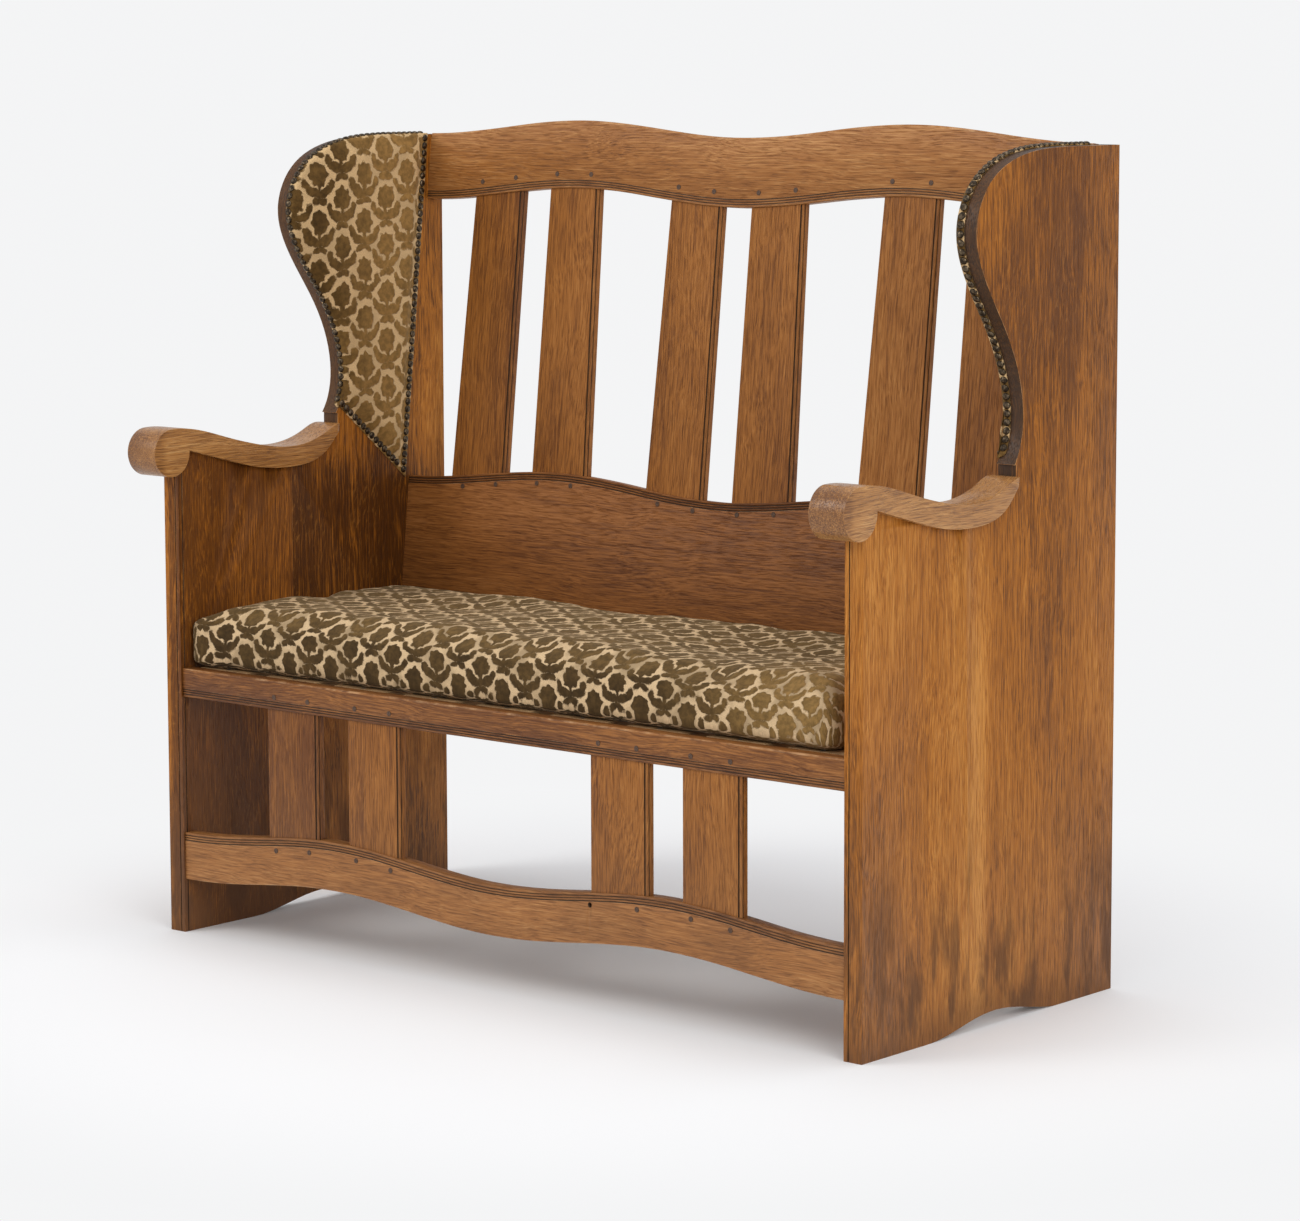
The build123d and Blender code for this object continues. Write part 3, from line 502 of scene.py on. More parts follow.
end_tints = ((0.540, 0.228, 0.044), (0.360, 0.122, 0.013), (0.130, 0.042, 0.007))
# A deeper dark tint for the painted shade on the inner side of the left end's rear board
left_wing_shaded_tints = (*end_tints[:2], (0.080, 0.026, 0.005))
rail_tints = ((0.520, 0.255, 0.088), (0.320, 0.124, 0.030), (0.135, 0.045, 0.011))
board_tints = ((0.400, 0.170, 0.055), (0.255, 0.092, 0.021), (0.105, 0.033, 0.008))
slat_tints = ((0.500, 0.230, 0.066), (0.320, 0.118, 0.022), (0.135, 0.044, 0.010))
arm_tints = ((0.600, 0.335, 0.125), (0.390, 0.178, 0.052), (0.160, 0.062, 0.019))
deck_tints = ((0.470, 0.300, 0.150), (0.330, 0.195, 0.090), (0.190, 0.100, 0.042))

# Name, tints, contrast, fleck, wear, polish, gloss, extra tone and dirt
(
    right_end_oak, left_end_shaded_oak, left_wing_shaded_oak, rail_oak, board_oak, slat_oak, arm_oak, deck_oak,
) = (oak_material(*row) for row in (
    ("right end oak", end_tints, 1.2, 0.45, 0.75, 0.10, 0.18, pale_seam, 1.0),
    # The left end's two oaks are copies of the right end's oak with painted shade on their inner side
    ("left end oak", end_tints, 1.2, 0.45, 0.75, 0.10, 0.18, shaded_inside, 1.0),
    ("left wing oak", left_wing_shaded_tints, 1.2, 0.70, 0.75, 0.10, 0.16, shaded_below, 1.0),
    ("rail oak", rail_tints, 1.0, 0.25, 0.50, 0.10, 0.25),
    ("back board oak", board_tints, 1.0, 0.15, 0.60, 0.05, 0.16),
    ("slat oak", slat_tints, 1.0, 0.35, 0.35, 0.08, 0.20),
    ("arm oak", arm_tints, 1.1, 0.15, 0.90, 0.22, 0.42, handled_drum),
    ("deck oak", deck_tints, 1.0, 0.20, 0.40, -0.1, 0.25),
))


def end_grain_material(name, light, dark):
    """End grain of the pegs and dowels: small dark pores on a dull ground."""
    material, tree, shader = plain_material(
        name, Roughness=0.6, Coat_Weight=0.08, Coat_Roughness=0.4
    )
    place = object_place(tree)
    dots = eased_step(noise_at(place, 900, 2.0), 0.4, 0.65)
    colour = blended(dots * 0.7, (*light, 1), (*dark, 1))
    colour = blended(noise_at(place, 30, 1.0) * 0.5, colour, (*dark, 1))
    feed(shader.inputs["Base Color"], colour)
    feed(shader.inputs["Roughness"], eased_step(dots, 0.0, 1.0, 0.5, 0.75))
    bumped(shader, 1.0 - dots, pore_bump)
    return material


peg_wood = end_grain_material("peg oak", (0.105, 0.046, 0.018), (0.030, 0.014, 0.007))
dowel_wood = end_grain_material("dowel wood", (0.460, 0.300, 0.160), (0.250, 0.140, 0.065))


def rubbed_metal(name, dark, bright, roughness, scale):
    """Metal with a dull skin that is rubbed brighter in patches."""
    material, tree, shader = plain_material(name, Roughness=roughness, Metallic=1.0)
    paler_share = eased_step(noise_at(object_place(tree), scale, 3.0, 0.6), 0.40, 0.66)
    feed(shader.inputs["Base Color"], blended(paler_share, (*dark, 1), (*bright, 1)))
    sheen = eased_step(paler_share, 0.0, 1.0, roughness + 0.14, roughness - 0.08)
    feed(shader.inputs["Roughness"], sheen)
    bumped(shader, paler_share, metal_bump)
    return material


nail_bronze = rubbed_metal(
    "nail bronze", (0.042, 0.031, 0.022), (0.160, 0.118, 0.075), 0.42, 220
)
screw_steel = rubbed_metal(
    "screw steel", (0.260, 0.250, 0.240), (0.480, 0.470, 0.450), 0.38, 400
)

# Cloth: half the sideways repeat and the whole upward repeat of its sprig
sprig_half = 0.045
sprig_rise = 0.069

# Bloom, stem and leaves of a sprig, whose leaves are (centre, radii, lean in degrees)
bloom_rise, bloom_radius, bloom_squash = 0.0112, 0.0163, 0.92
lobe_count, lobe_depth = 8.0, 0.0012
stem_half, stem_drop, stem_reach = 0.0034, 0.012, 0.016
sprig_leaves = (
    ((0.0130, -0.0130), (0.0152, 0.0074), 24), ((0.0236, -0.0028), (0.0092, 0.0062), 70),
    ((0.0062, -0.0268), (0.0092, 0.0054), -18),
)
cloth_soil = (0.235, 0.160, 0.085, 1)


def reach_of(across, rise):
    """Length of a flat vector."""
    return maths("SQRT", across * across + rise * rise)


def leaf_distance(across, rise, centre, radii, degrees):
    """Rough distance to a leaf, an ellipse that leans by an angle."""
    lean_cos, lean_sin = math.cos(math.radians(degrees)), math.sin(math.radians(degrees))
    from_x, from_y = across - centre[0], rise - centre[1]
    along = from_x * (lean_cos / radii[0]) + from_y * (lean_sin / radii[0])
    beside = from_y * (lean_cos / radii[1]) - from_x * (lean_sin / radii[1])
    return (reach_of(along, beside) - 1.0) * radii[1]


def sprig_distance(across, rise, column):
    """Distance to the sprigs of every second column: a bloom on a stem, leaves and a foot."""
    turn = maths("FLOORED_MODULO", across + sprig_half * (1 + column), 2 * sprig_half)
    lifted = maths("FLOORED_MODULO", rise + sprig_rise * column / 2, sprig_rise)
    x, y = turn - sprig_half, lifted - sprig_rise / 2
    mirrored = maths("ABSOLUTE", x)
    up_bloom = (y - bloom_rise) * bloom_squash
    lobes = maths("COSINE", maths("ARCTAN2", up_bloom, x) * lobe_count)
    bloom = reach_of(x, up_bloom) - (lobes * lobe_depth + bloom_radius)
    stem_end = maths("ABSOLUTE", y + stem_drop) - stem_reach
    nearest = maths("MINIMUM", bloom, maths("MAXIMUM", mirrored - stem_half, stem_end))
    for leaf in sprig_leaves:
        nearest = maths("MINIMUM", nearest, leaf_distance(mirrored, y, *leaf))
    return nearest


def darkened(colour, shade):
    return blended(1.0, colour, joined(shade, shade, shade), "MULTIPLY")


def sprig_velvet():
    """Cut velvet: a woven ground between raised sprigs of pile, paler in places from wear and from
    painted sheen, and soiled in places.
    """
    tree, given, out = surface_group(
        "sprig velvet", Vector=("Cloth",), Color=("Ground", "Pile", "Rubbed Pile"),
        Float=("Rub", "Soil"),
    )
    cloth = given["Cloth"]
    across, rise, _ = split(cloth)
    across = across + (noise_at(cloth, 46, 3.0, 0.6) - 0.5) * 0.016
    rise = rise + (noise_at(cloth, (43, 49, 30), 3.0, 0.6) - 0.5) * 0.016
    first, second = (sprig_distance(across, rise, column) for column in (0, 1))
    frayed = maths("MINIMUM", first, second) + (noise_at(cloth, 420, 2.0) - 0.5) * 0.0026
    pile = eased_step(frayed, -0.0011, 0.0009, 1.0, 0.0)
    threads = noise_at(cloth, 700, 2.0)
    patches = noise_at(cloth, 16, 3.0, 0.55)
    mottle = noise_at(cloth, 120, 3.0, 0.6)
    # Paling carries wear, and painted sheen on the cushion's top
    paler_share = maths("ADD", given["Rub"], (patches - 0.5) * 0.9, clamp=True)
    pile_colour = blended(paler_share, given["Pile"], given["Rubbed Pile"])
    pile_colour = darkened(pile_colour, eased_step(mottle, 0.3, 0.7, 0.72, 1.22))
    ground_colour = darkened(given["Ground"], eased_step(threads, 0.3, 0.7, 0.80, 1.06))
    soil = eased_step(patches, 0.42, 0.66) * given["Soil"]
    ground_colour = blended(soil, ground_colour, cloth_soil)
    feed(out["Color"], blended(pile, ground_colour, pile_colour))
    feed(out["Roughness"], eased_step(pile, 0.0, 1.0, 0.78, 0.94))
    feed(out["Height"], pile + threads * 0.28 + mottle * 0.35)
    return tree


velvet_group = sprig_velvet()


def cloth_material(name, ground, pile, rubbed, soil, paling_at):
    material, tree, shader = plain_material(
        name, Roughness=0.9, Sheen_Weight=0.12, Sheen_Roughness=0.45,
        Sheen_Tint=(0.95, 0.80, 0.55, 1), Specular_IOR_Level=0.12,
    )
    surfaced(
        shader, velvet_group, pile_bump, Cloth=attribute(tree, "cloth_at", "Vector"),
        Ground=(*ground, 1), Pile=(*pile, 1), Rubbed_Pile=(*rubbed, 1),
        Rub=paling_at(object_place(tree)), Soil=soil,
    )
    return material


def wing_rearward_paling(place):
    """The wings' pile is paler towards the rear and darker towards the front."""
    return eased_step(split(place)[1], 0.02, 0.19, 0.10, 0.85)


def cushion_wear_and_sheen(place):
    """The cushion's pile is worn golden over one front corner, and paler on its top, partly worn
    where people sit and partly painted sheen.
    """
    reach = vectors("LENGTH", vectors("SUBTRACT", place, (0.56, -0.20, 0.42)), output="Value")
    corner = eased_step(reach, 0.04, 0.30, 1.0, 0.10)
    # The top's paling is partly wear and partly painted sheen
    return maths("MAXIMUM", corner, eased_step(split(place)[2], 0.425, 0.452, 0.0, 0.38))


wing_cloth = cloth_material(
    "wing cloth", (0.640, 0.430, 0.215), (0.070, 0.036, 0.009), (0.290, 0.160, 0.048), 0.30,
    wing_rearward_paling,
)
cushion_velvet = cloth_material(
    "cushion velvet", (0.640, 0.455, 0.260), (0.052, 0.029, 0.010), (0.225, 0.130, 0.042), 0.68,
    cushion_wear_and_sheen,
)


# Boards

def rounded(radius, *corners, steps=3):
    """Points of rounded corners, each with the finish of the strip after it.

    A corner is the centre of its rounding and the angle at which its quarter turn starts.
    """
    points = []
    for across, depth, start in corners:
        for step in range(steps + 1):
            turn = math.radians(start + 90 * step / steps)
            mark = eased if step < steps else flat
            points.append((across + radius * math.cos(turn), depth + radius * math.sin(turn), mark))
    return points


def bead_points(start, width, depth, steps=6):
    """Points of a half-round bead between two groove bottoms."""
    points = []
    for step in range(steps + 1):
        turn = math.pi * step / steps
        mark = reed if step < steps else sunk
        points.append((start + width * (1 - math.cos(turn)) / 2, depth * (1 - math.sin(turn)), mark))
    return points


reed_count = 3
reed_pitch = 0.0034
reed_groove = 0.0011
reed_depth = 0.0014


def board_section(height, thickness, ease, reeded):
    """(rise, depth, finish) round a board, with reeds along its low edge if it has them."""
    points, far, back = [], height - ease, thickness - ease
    if reeded:
        for reed in range(reed_count):
            start = reed * reed_pitch + (reed_groove if reed else 0)
            points += bead_points(start, (reed + 1) * reed_pitch - start, reed_depth)
        foot = reed_count * reed_pitch + reed_groove
        points += [(foot, reed_depth, sunk), (foot + 0.0002, 0.0003, eased), (foot + 0.0006, 0, flat)]
    else:
        points += rounded(ease, (ease, ease, 180))
    return points + rounded(ease, (far, ease, 270), (far, back, 0), (ease, back, 90))


def flipped(section, height):
    """The same section with its reeds along the high edge."""
    turned = [(height - rise, depth) for rise, depth, _ in section][::-1]
    marks = [mark for _, _, mark in section][::-1]
    marks = marks[1:] + marks[:1]
    return [(rise, depth, mark) for (rise, depth), mark in zip(turned, marks)]


def rail_mesh(name, plane, edges, thickness, ease, reeds, tenon, seed):
    """A rail lofted along the settle, with tenons that reach into the ends."""
    low_edge, high_edge = edges
    places = [float(place) for place in np.linspace(-inner_half, inner_half, 141)]
    tenon_end = inner_half + tenon_length
    rings = []
    for place, is_tenon in (
        (-tenon_end, True), (places[0], True), *((place, False) for place in places),
        (places[-1], True), (tenon_end, True),
    ):
        low, high = low_edge(place), high_edge(place)
        if not is_tenon:
            low += 0.00025 * wander(place, seed, 14)
            high += 0.00025 * wander(place, seed + 1, 14)
        height = high - low
        worn = ease * (1 + 0.45 * wander(place, seed + 2, 11))
        section = board_section(height, thickness, worn, reeds != 0)
        if reeds > 0:
            section = flipped(section, height)
        if is_tenon:
            shrink = (height - 2 * tenon_shoulder) / height
            section = [
                (tenon_shoulder + rise * shrink, depth * tenon / thickness, mark)
                for rise, depth, mark in section
            ]
        rings.append([
            (on_plane(plane, place, low + rise, depth), mark) for rise, depth, mark in section
        ])
    return lofted_mesh(name, rings)


# Edges of the rails, those of the back measured down its face from the overall height
top_rail_low = -swell_rise - 0.096
back_board_high = (0.606 - overall_height) / math.cos(rake)
back_board_low = (seat_top - overall_height) / math.cos(rake)
lower_rail_top = 0.141
lower_rail_low = lower_rail_top - 0.0665

# Hole left by the one peg that has sunk into the lower rail
sunk_peg_place = Vector((0.169, front_face_y, 0.1383))
sunk_peg_radius = 0.0034
sunk_peg_depth = 0.006


def bored(mesh, place, radius, depth):
    """The mesh with a blind round hole bored into it from the front."""
    form = bmesh.new()
    _, recess = face_layers(form)
    bmesh.ops.create_cone(
        form, cap_ends=True, segments=20, radius1=radius, radius2=radius, depth=2 * depth,
        matrix=Matrix.Translation(place) @ Matrix.Rotation(math.pi / 2, 4, "X"),
    )
    # The hole's walls take the full dark recess colour as painted shade
    for face in form.faces:
        face[recess] = 1.0
    drill = in_scene("drill", finished_mesh(form, "drill"))
    result = modified(mesh, "BOOLEAN", operation="DIFFERENCE", solver="EXACT", object=drill)
    bpy.data.objects.remove(drill)
    return result


def board_piece(node, mesh, material, slot, along, across, seed, tone):
    """A board with its own grain and shade, standing for its CAD node."""
    mark_wood(mesh, along, across, seed, tone)
    new_piece(node + "_board", mesh, material, "settle", slot, node)


# Node, plane, edges, thickness, easing, side of the reeds, tenon thickness, seed, tone and oak
for node, plane, edges, thickness, ease, reeds, tenon, seed, tone, oak in (
    ("back_top_rail", back_plane,
     (lambda x: top_rail_low + swell(x), lambda x: swell(x) - swell_rise),
     back_thickness, 0.0032, -1, 0.009, 11, 0.06, rail_oak),
    ("back_lower_board", back_plane,
     (lambda x: back_board_low, lambda x: back_board_high + swell(x)),
     back_thickness, 0.0016, 1, 0.009, 12, -0.06, board_oak),
    ("seat_front_rail", front_plane, (lambda x: seat_rail_low, lambda x: seat_top),
     front_thickness, 0.0022, -1, 0.010, 13, -0.20, rail_oak),
    ("front_lower_rail", front_plane,
     (lambda x: lower_rail_low + swell(x), lambda x: lower_rail_top + swell(x)),
     front_thickness, 0.0018, 1, 0.010, 14, -0.12, rail_oak),
):
    mesh = rail_mesh(node + "_board", plane, edges, thickness, ease, reeds, tenon, seed)
    if node == "front_lower_rail":
        mesh = bored(mesh, sunk_peg_place, sunk_peg_radius, sunk_peg_depth)
    board_piece(node, mesh, oak, "rail_oak", along_x, plane[1], seed, tone)


def slat_section(left, right):
    """(across, depth, finish) round a slat, with a bead and a quirk at its right-hand edge."""
    ease, depth, bead = 0.0013, 0.0015, 0.0048
    near, back, bead_foot, quirk = left + ease, slat_thickness - ease, right - bead, right - 0.0008
    return [
        *rounded(ease, (near, ease, 180)),
        (bead_foot - 0.0017, 0, sunk), (bead_foot - 0.0014, depth, sunk),
        (bead_foot, depth, eased), *bead_points(bead_foot, bead, depth)[1:],
        (quirk, depth + 0.0004, sunk), (quirk, depth + 0.0014, sunk),
        (right, depth + 0.0016, flat), *rounded(ease, (right - ease, back, 0), (near, back, 90)),
    ]


def slat_mesh(name, plane, straight, side, low, low_width, high, high_width):
    """A slat, straight along one edge and flared along the other towards its foot."""
    rings = []
    for share in (step / 8 for step in range(9)):
        width = low_width + (high_width - low_width) * share
        left, right = sorted((straight, straight + side * width))
        rise = low + (high - low) * share
        rings.append([
            (on_plane(plane, across, rise, slat_setback + depth), mark)
            for across, depth, mark in slat_section(left, right)
        ])
    return lofted_mesh(name, rings)


# Straight edge, side that the slat lies on and tone of each slat
back_slat_edges = [
    (share * inner_half + side * 0.026, side) for share in (-0.636, 0, 0.636) for side in (-1, 1)
]
front_slat_edges = [(share * inner_half - 0.048, 1) for share in (-0.635, -0.372, 0.372, 0.635)]
back_slat_tones = (-0.16, -0.10, -0.10, -0.06, -0.10, -0.18)
front_slat_tones = (-0.26, -0.24, -0.10, -0.12)
back_slat_run = (
    back_board_high - slat_housing, 0.104, top_rail_low + swell_rise + slat_housing, 0.091
)
front_slat_run = (lower_rail_top - slat_housing, 0.096, seat_rail_low + slat_housing, 0.096)
for row, plane, slat_run, edges, tones, seed in (
    ("back", back_plane, back_slat_run, back_slat_edges, back_slat_tones, 20),
    ("front", front_plane, front_slat_run, front_slat_edges, front_slat_tones, 30),
):
    for number, ((straight, side), tone) in enumerate(zip(edges, tones), start=1):
        node = f"{row}_slat_{number}"
        mesh = slat_mesh(node + "_board", plane, straight, side, *slat_run)
        board_piece(node, mesh, slat_oak, "slat_oak", plane[1], along_x, seed + number, tone)


# Ends and arms

wing_foot_height = 0.707
edge_bead_reach = 0.010


def near_seam(edge):
    return all(abs(vert.co.y - seam_y) < 1e-4 for vert in edge.verts)


def near_bead(edge):
    """Edges of the grooves beside the bead at an end's front edge."""
    return all(
        end_front + 0.0002 < vert.co.y < end_front + edge_bead_reach
        or abs(abs(vert.co.x) - inner_half) > 0.0003 and abs(abs(vert.co.x) - outer_half) > 0.0003
        for vert in edge.verts
    ) and all(vert.co.y < end_front + edge_bead_reach for vert in edge.verts)


def outline_edge(edge):
    return not near_seam(edge) and not near_bead(edge)


def any_edge(edge):
    return True


def end_recess(face):
    """Grooves beside the front bead, darkened with painted shade, and the grey, bare edge of the
    wing, with its grime.
    """
    middle = face.calc_center_median()
    on_wing = middle.z > wing_foot_height - 0.01 and middle.y < end_rear - 0.002
    if on_wing and abs(face.normal.x) < 0.5:
        return 0.95
    in_board = inner_half + 0.0004 < abs(middle.x) < outer_half - 0.0004
    by_bead = end_front + 0.0003 < middle.y < end_front + edge_bead_reach
    return float(in_board and by_bead)


end_easings = ((near_seam, 0.0004, 1), (near_bead, 0.0004, 2), (outline_edge, 0.0022, 3))
for number, (node, tone, oak) in enumerate((
    ("left_end_front_board", -0.03, left_end_shaded_oak), ("left_end_rear_board", 0.0, left_wing_shaded_oak),
    ("right_end_front_board", 0.05, right_end_oak), ("right_end_rear_board", 0.0, right_end_oak),
)):
    mesh = eased_mesh(node, end_easings, end_recess)
    board_piece(node, mesh, oak, "end_oak", along_z, along_y, 40 + number, tone)

# Node, easing, oak, slot, run of the grain and direction across it, seed and tone
arm_easing, deck_easing = (any_edge, 0.0034, 4), (any_edge, 0.0012, 2)
for node, easing, *wood in (
    *((node, arm_easing, arm_oak, "arm_oak", along_y, along_x, 50 + number, 0.03)
      for number, node in enumerate(("left_arm", "right_arm"))),
    *((f"seat_slat_{number}", deck_easing, deck_oak, "deck_oak", along_y, along_x,
       60 + number, 0.02 * (number % 3 - 1)) for number in range(1, 10)),
    *((node, deck_easing, deck_oak, "deck_oak", along_x, along_y, 70 + number, -0.05)
      for number, node in enumerate(("seat_front_ledger", "seat_rear_ledger"))),
    ("seat_rear_rail", deck_easing, rail_oak, "rail_oak", along_x, along_z, 75, -0.05),
):
    board_piece(node, eased_mesh(node, (easing,)), *wood)

# CAD pieces that keep their own shape and get a finish
for material, names in (
    (peg_wood, ("back_rail_pegs", "back_board_pegs", "seat_rail_pegs", "lower_rail_pegs")),
    (dowel_wood, ("left_end_dowels", "right_end_dowels", "left_arm_dowels", "right_arm_dowels")),
    (screw_steel, ("ledger_screws", "seat_slat_screws")),
):
    for name in names:
        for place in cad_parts[name].material_slots:
            place.material = material


# Wing pads and their nails

def hem_outline(node):
    """Outline of a wing pad's hem, as (y, z) points in order, from the CAD pad's thin rim."""
    form = merged_form(node)
    hem_x = inner_half - pad_skin
    hem = dict.fromkeys(
        face for face in form.faces if all(abs(abs(vert.co.x) - hem_x) < 3e-5 for vert in face.verts)
    )
    after = {}
    for face in hem:
        for loop in face.loops:
            if sum(other in hem for other in loop.edge.link_faces) == 1:
                after[loop.vert.index] = loop.link_loop_next.vert.index
    form.verts.ensure_lookup_table()
    loops = []
    while after:
        start, onward = after.popitem()
        run = [start]
        while onward != start:
            run.append(onward)
            onward = after.pop(onward)
        loops.append(np.array([form.verts[index].co.yz[:] for index in run]))
    form.free()
    return max(loops, key=lambda run: np.ptp(run[:, 1]))


def resampled(loop, count):
    """Evenly spaced points round a closed loop."""
    closed = np.vstack([loop, loop[:1]])
    lengths = np.concatenate([[0], np.cumsum(np.hypot(*np.diff(closed, axis=0).T))])
    places = np.linspace(0, lengths[-1], count, endpoint=False)
    return np.column_stack([np.interp(places, lengths, closed[:, axis]) for axis in (0, 1)])


def distance_to_runs(spots, runs):
    """Distance from each spot to the nearest of some straight runs."""
    nearest = np.full(len(spots), np.inf)
    for start, end in runs:
        run = end - start
        share = np.clip(((spots - start) @ run) / (run @ run), 0, 1)
        nearest = np.minimum(nearest, np.hypot(*(spots - start - share[:, None] * run).T))
    return nearest


def smooth_share(value):
    value = np.clip(value, 0, 1)
    return value * value * (3 - 2 * value)


border_count = 300
pad_middle = np.array((0.118, 0.900))
ring_shares = np.array(
    [1, 0.985, 0.968, 0.948, 0.925, 0.9, 0.87, 0.835, 0.8, 0.76]
    + [round(share, 3) for share in np.linspace(0.715, 0.08, 15)]
)
pad_height = 0.0098
border_height = 0.0013
held_hem = 0.0115
nail_pitch = 0.0109
pucker_depth = 0.00045
wrap_foot_height = 0.7145

# Inset, stand where the hem is held and stand where the cloth wraps, for the rings of the rim
rim_rings = (
    (0.002, 0.0, 0.0), (0.002, 0.0, -0.009), (0.0, 0.0, -0.009), (0.0, 0.0004, -0.0010),
)


def wing_pad(node, side):
    """A padded wing: a crown drawn down by its nails, and a wrap over the wing's bare edge."""
    loop = resampled(hem_outline(node), border_count)
    tail = loop[np.argmin(loop[:, 1])]
    top_rear = loop[np.argmax(loop[:, 0] + loop[:, 1])]
    foot = loop[np.argmin(np.where(loop[:, 1] < wrap_foot_height, loop[:, 0], 9))]
    held_runs = ((tail, top_rear), (tail, foot))
    wrap = smooth_share(distance_to_runs(loop, held_runs) / 0.006)
    onward = np.roll(loop, -1, axis=0) - np.roll(loop, 1, axis=0)
    outward = np.column_stack([onward[:, 1], -onward[:, 0]]) / np.hypot(*onward.T)[:, None]
    if ((loop - pad_middle) * outward).sum() < 0:
        outward = -outward
    along = np.concatenate([[0], np.cumsum(np.hypot(*np.diff(loop, axis=0).T))])
    border_runs = list(zip(loop, np.roll(loop, -1, axis=0)))
    rings, cloth = [], []

    def add_ring(spots, stand, cloth_spots):
        rings.append([(side * (inner_half - rise), *spot) for spot, rise in zip(spots, stand)])
        cloth.append(cloth_spots)

    for inset, held, wrapped in rim_rings:
        stand = held * (1 - wrap) + wrapped * wrap
        add_ring(loop - inset * outward, stand, loop + outward * np.maximum(-stand, 0)[:, None])
    add_ring(loop - 0.0007 * outward * wrap[:, None], 0.0009 * (1 - wrap) + 0.0010 * wrap, loop)
    inner = loop - 0.0024 * outward * wrap[:, None]
    for share in ring_shares:
        spots = pad_middle + (inner - pad_middle) * share
        from_border = distance_to_runs(spots, border_runs)
        from_held = distance_to_runs(spots, held_runs)
        hem = held_hem * (1 - smooth_share((from_held - 0.012) / 0.02))
        crown_rise = smooth_share((from_border - hem + 0.004) / 0.034) ** 0.8
        stand = border_height + (pad_height - border_height) * crown_rise
        stand += 0.0012 * wrap * (1 - smooth_share(from_border / 0.02))
        pucker = np.cos(2 * math.pi * along / nail_pitch)
        pucker *= np.exp(-np.abs(from_border - hem - 0.003) / 0.008)
        stand += pucker_depth * pucker * (share < 0.99)
        drift = [noise.noise(Vector((spot[0] * 14, spot[1] * 14, side * 5.0))) for spot in spots]
        stand += 0.0006 * np.array(drift) * smooth_share(from_border / 0.05)
        add_ring(spots, stand, spots)
    form = bmesh.new()
    rows, _ = joined_rings(form, rings)
    crown = form.verts.new((side * (inner_half - pad_height), *pad_middle))
    for place, vert in enumerate(rows[-1]):
        form.faces.new((vert, rows[-1][(place + 1) % border_count], crown))
    mesh = finished_mesh(form, node + "_cloth", crisp=False)
    pattern = np.vstack([*cloth, pad_middle[None, :]])
    shift = 0.010 if side > 0 else 0.032
    store(mesh, "cloth_at", "FLOAT_VECTOR", np.column_stack(
        [side * pattern[:, 0] + shift, pattern[:, 1] + shift, np.zeros(len(pattern))]
    ))
    return mesh


def solid_middles(node):
    """Base centre and outward axis of each separate solid in a node of domed heads."""
    form = bmesh.new()
    form.from_mesh(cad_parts[node].data)
    bmesh.ops.remove_doubles(form, verts=form.verts, dist=1e-6)
    waiting, found = set(form.verts), []
    while waiting:
        island, nearby = set(), [waiting.pop()]
        while nearby:
            vert = nearby.pop()
            island.add(vert)
            for edge in vert.link_edges:
                other = edge.other_vert(vert)
                if other in waiting:
                    waiting.discard(other)
                    nearby.append(other)
        spots = np.array([vert.co[:] for vert in island])
        middle = spots.mean(axis=0)
        axis = np.linalg.eigh(np.cov((spots - middle).T))[1][:, 0]
        rises = (spots - middle) @ axis
        widths = np.linalg.norm(spots - middle - rises[:, None] * axis, axis=1)
        rim = rises[widths > widths.max() * 0.97].mean()
        if rises[widths < widths.max() * 0.5].mean() < rim:
            axis, rises, rim = -axis, -rises, -rim
        found.append((middle + axis * rim, axis))
    form.free()
    found.sort(key=lambda row: tuple(round(float(value), 4) for value in row[0]))
    return found


def domed_heads():
    """Domed nail heads on points, each facing along the points' outward direction."""
    tree, given, out, names = new_tree(
        "domed heads", "GeometryNodeTree",
        {"Geometry": ("Geometry",), "Float": ("Head Radius", "Dome Share", "Lean"),
         "Int": ("Seed",), "Material": ("Finish",)},
        {"Geometry": ("Geometry",)},
    )
    ball = added("GeometryNodeMeshUVSphere", {
        "Segments": 12, "Rings": 7, "Radius": given["Head Radius"],
    })
    squash = joined(1.0, 1.0, given["Dome Share"])
    dome = added("GeometryNodeTransform", {"Geometry": ball, "Scale": squash})
    facing = added(
        "GeometryNodeInputNamedAttribute", {"Name": "outward"}, "Attribute", tree,
        data_type="FLOAT_VECTOR",
    )
    random = added(
        "FunctionNodeRandomValue", {"Seed": given["Seed"]}, "Value", data_type="FLOAT_VECTOR"
    )
    centred = vectors("SUBTRACT", random, (0.5, 0.5, 0.5))
    leaning = vectors("MULTIPLY_ADD", centred, given["Lean"], facing)
    turned = added("FunctionNodeAlignRotationToVector", {"Vector": leaning}, "Rotation", axis="Z")
    heads = added("GeometryNodeInstanceOnPoints", {
        "Points": given["Geometry"], "Instance": dome, "Rotation": turned,
    })
    heads = added("GeometryNodeRealizeInstances", {"Geometry": heads})
    heads = added("GeometryNodeSetShadeSmooth", {"Geometry": heads})
    heads = added("GeometryNodeSetMaterial", {"Geometry": heads, "Material": given["Finish"]})
    feed(out["Geometry"], heads)
    return tree, names


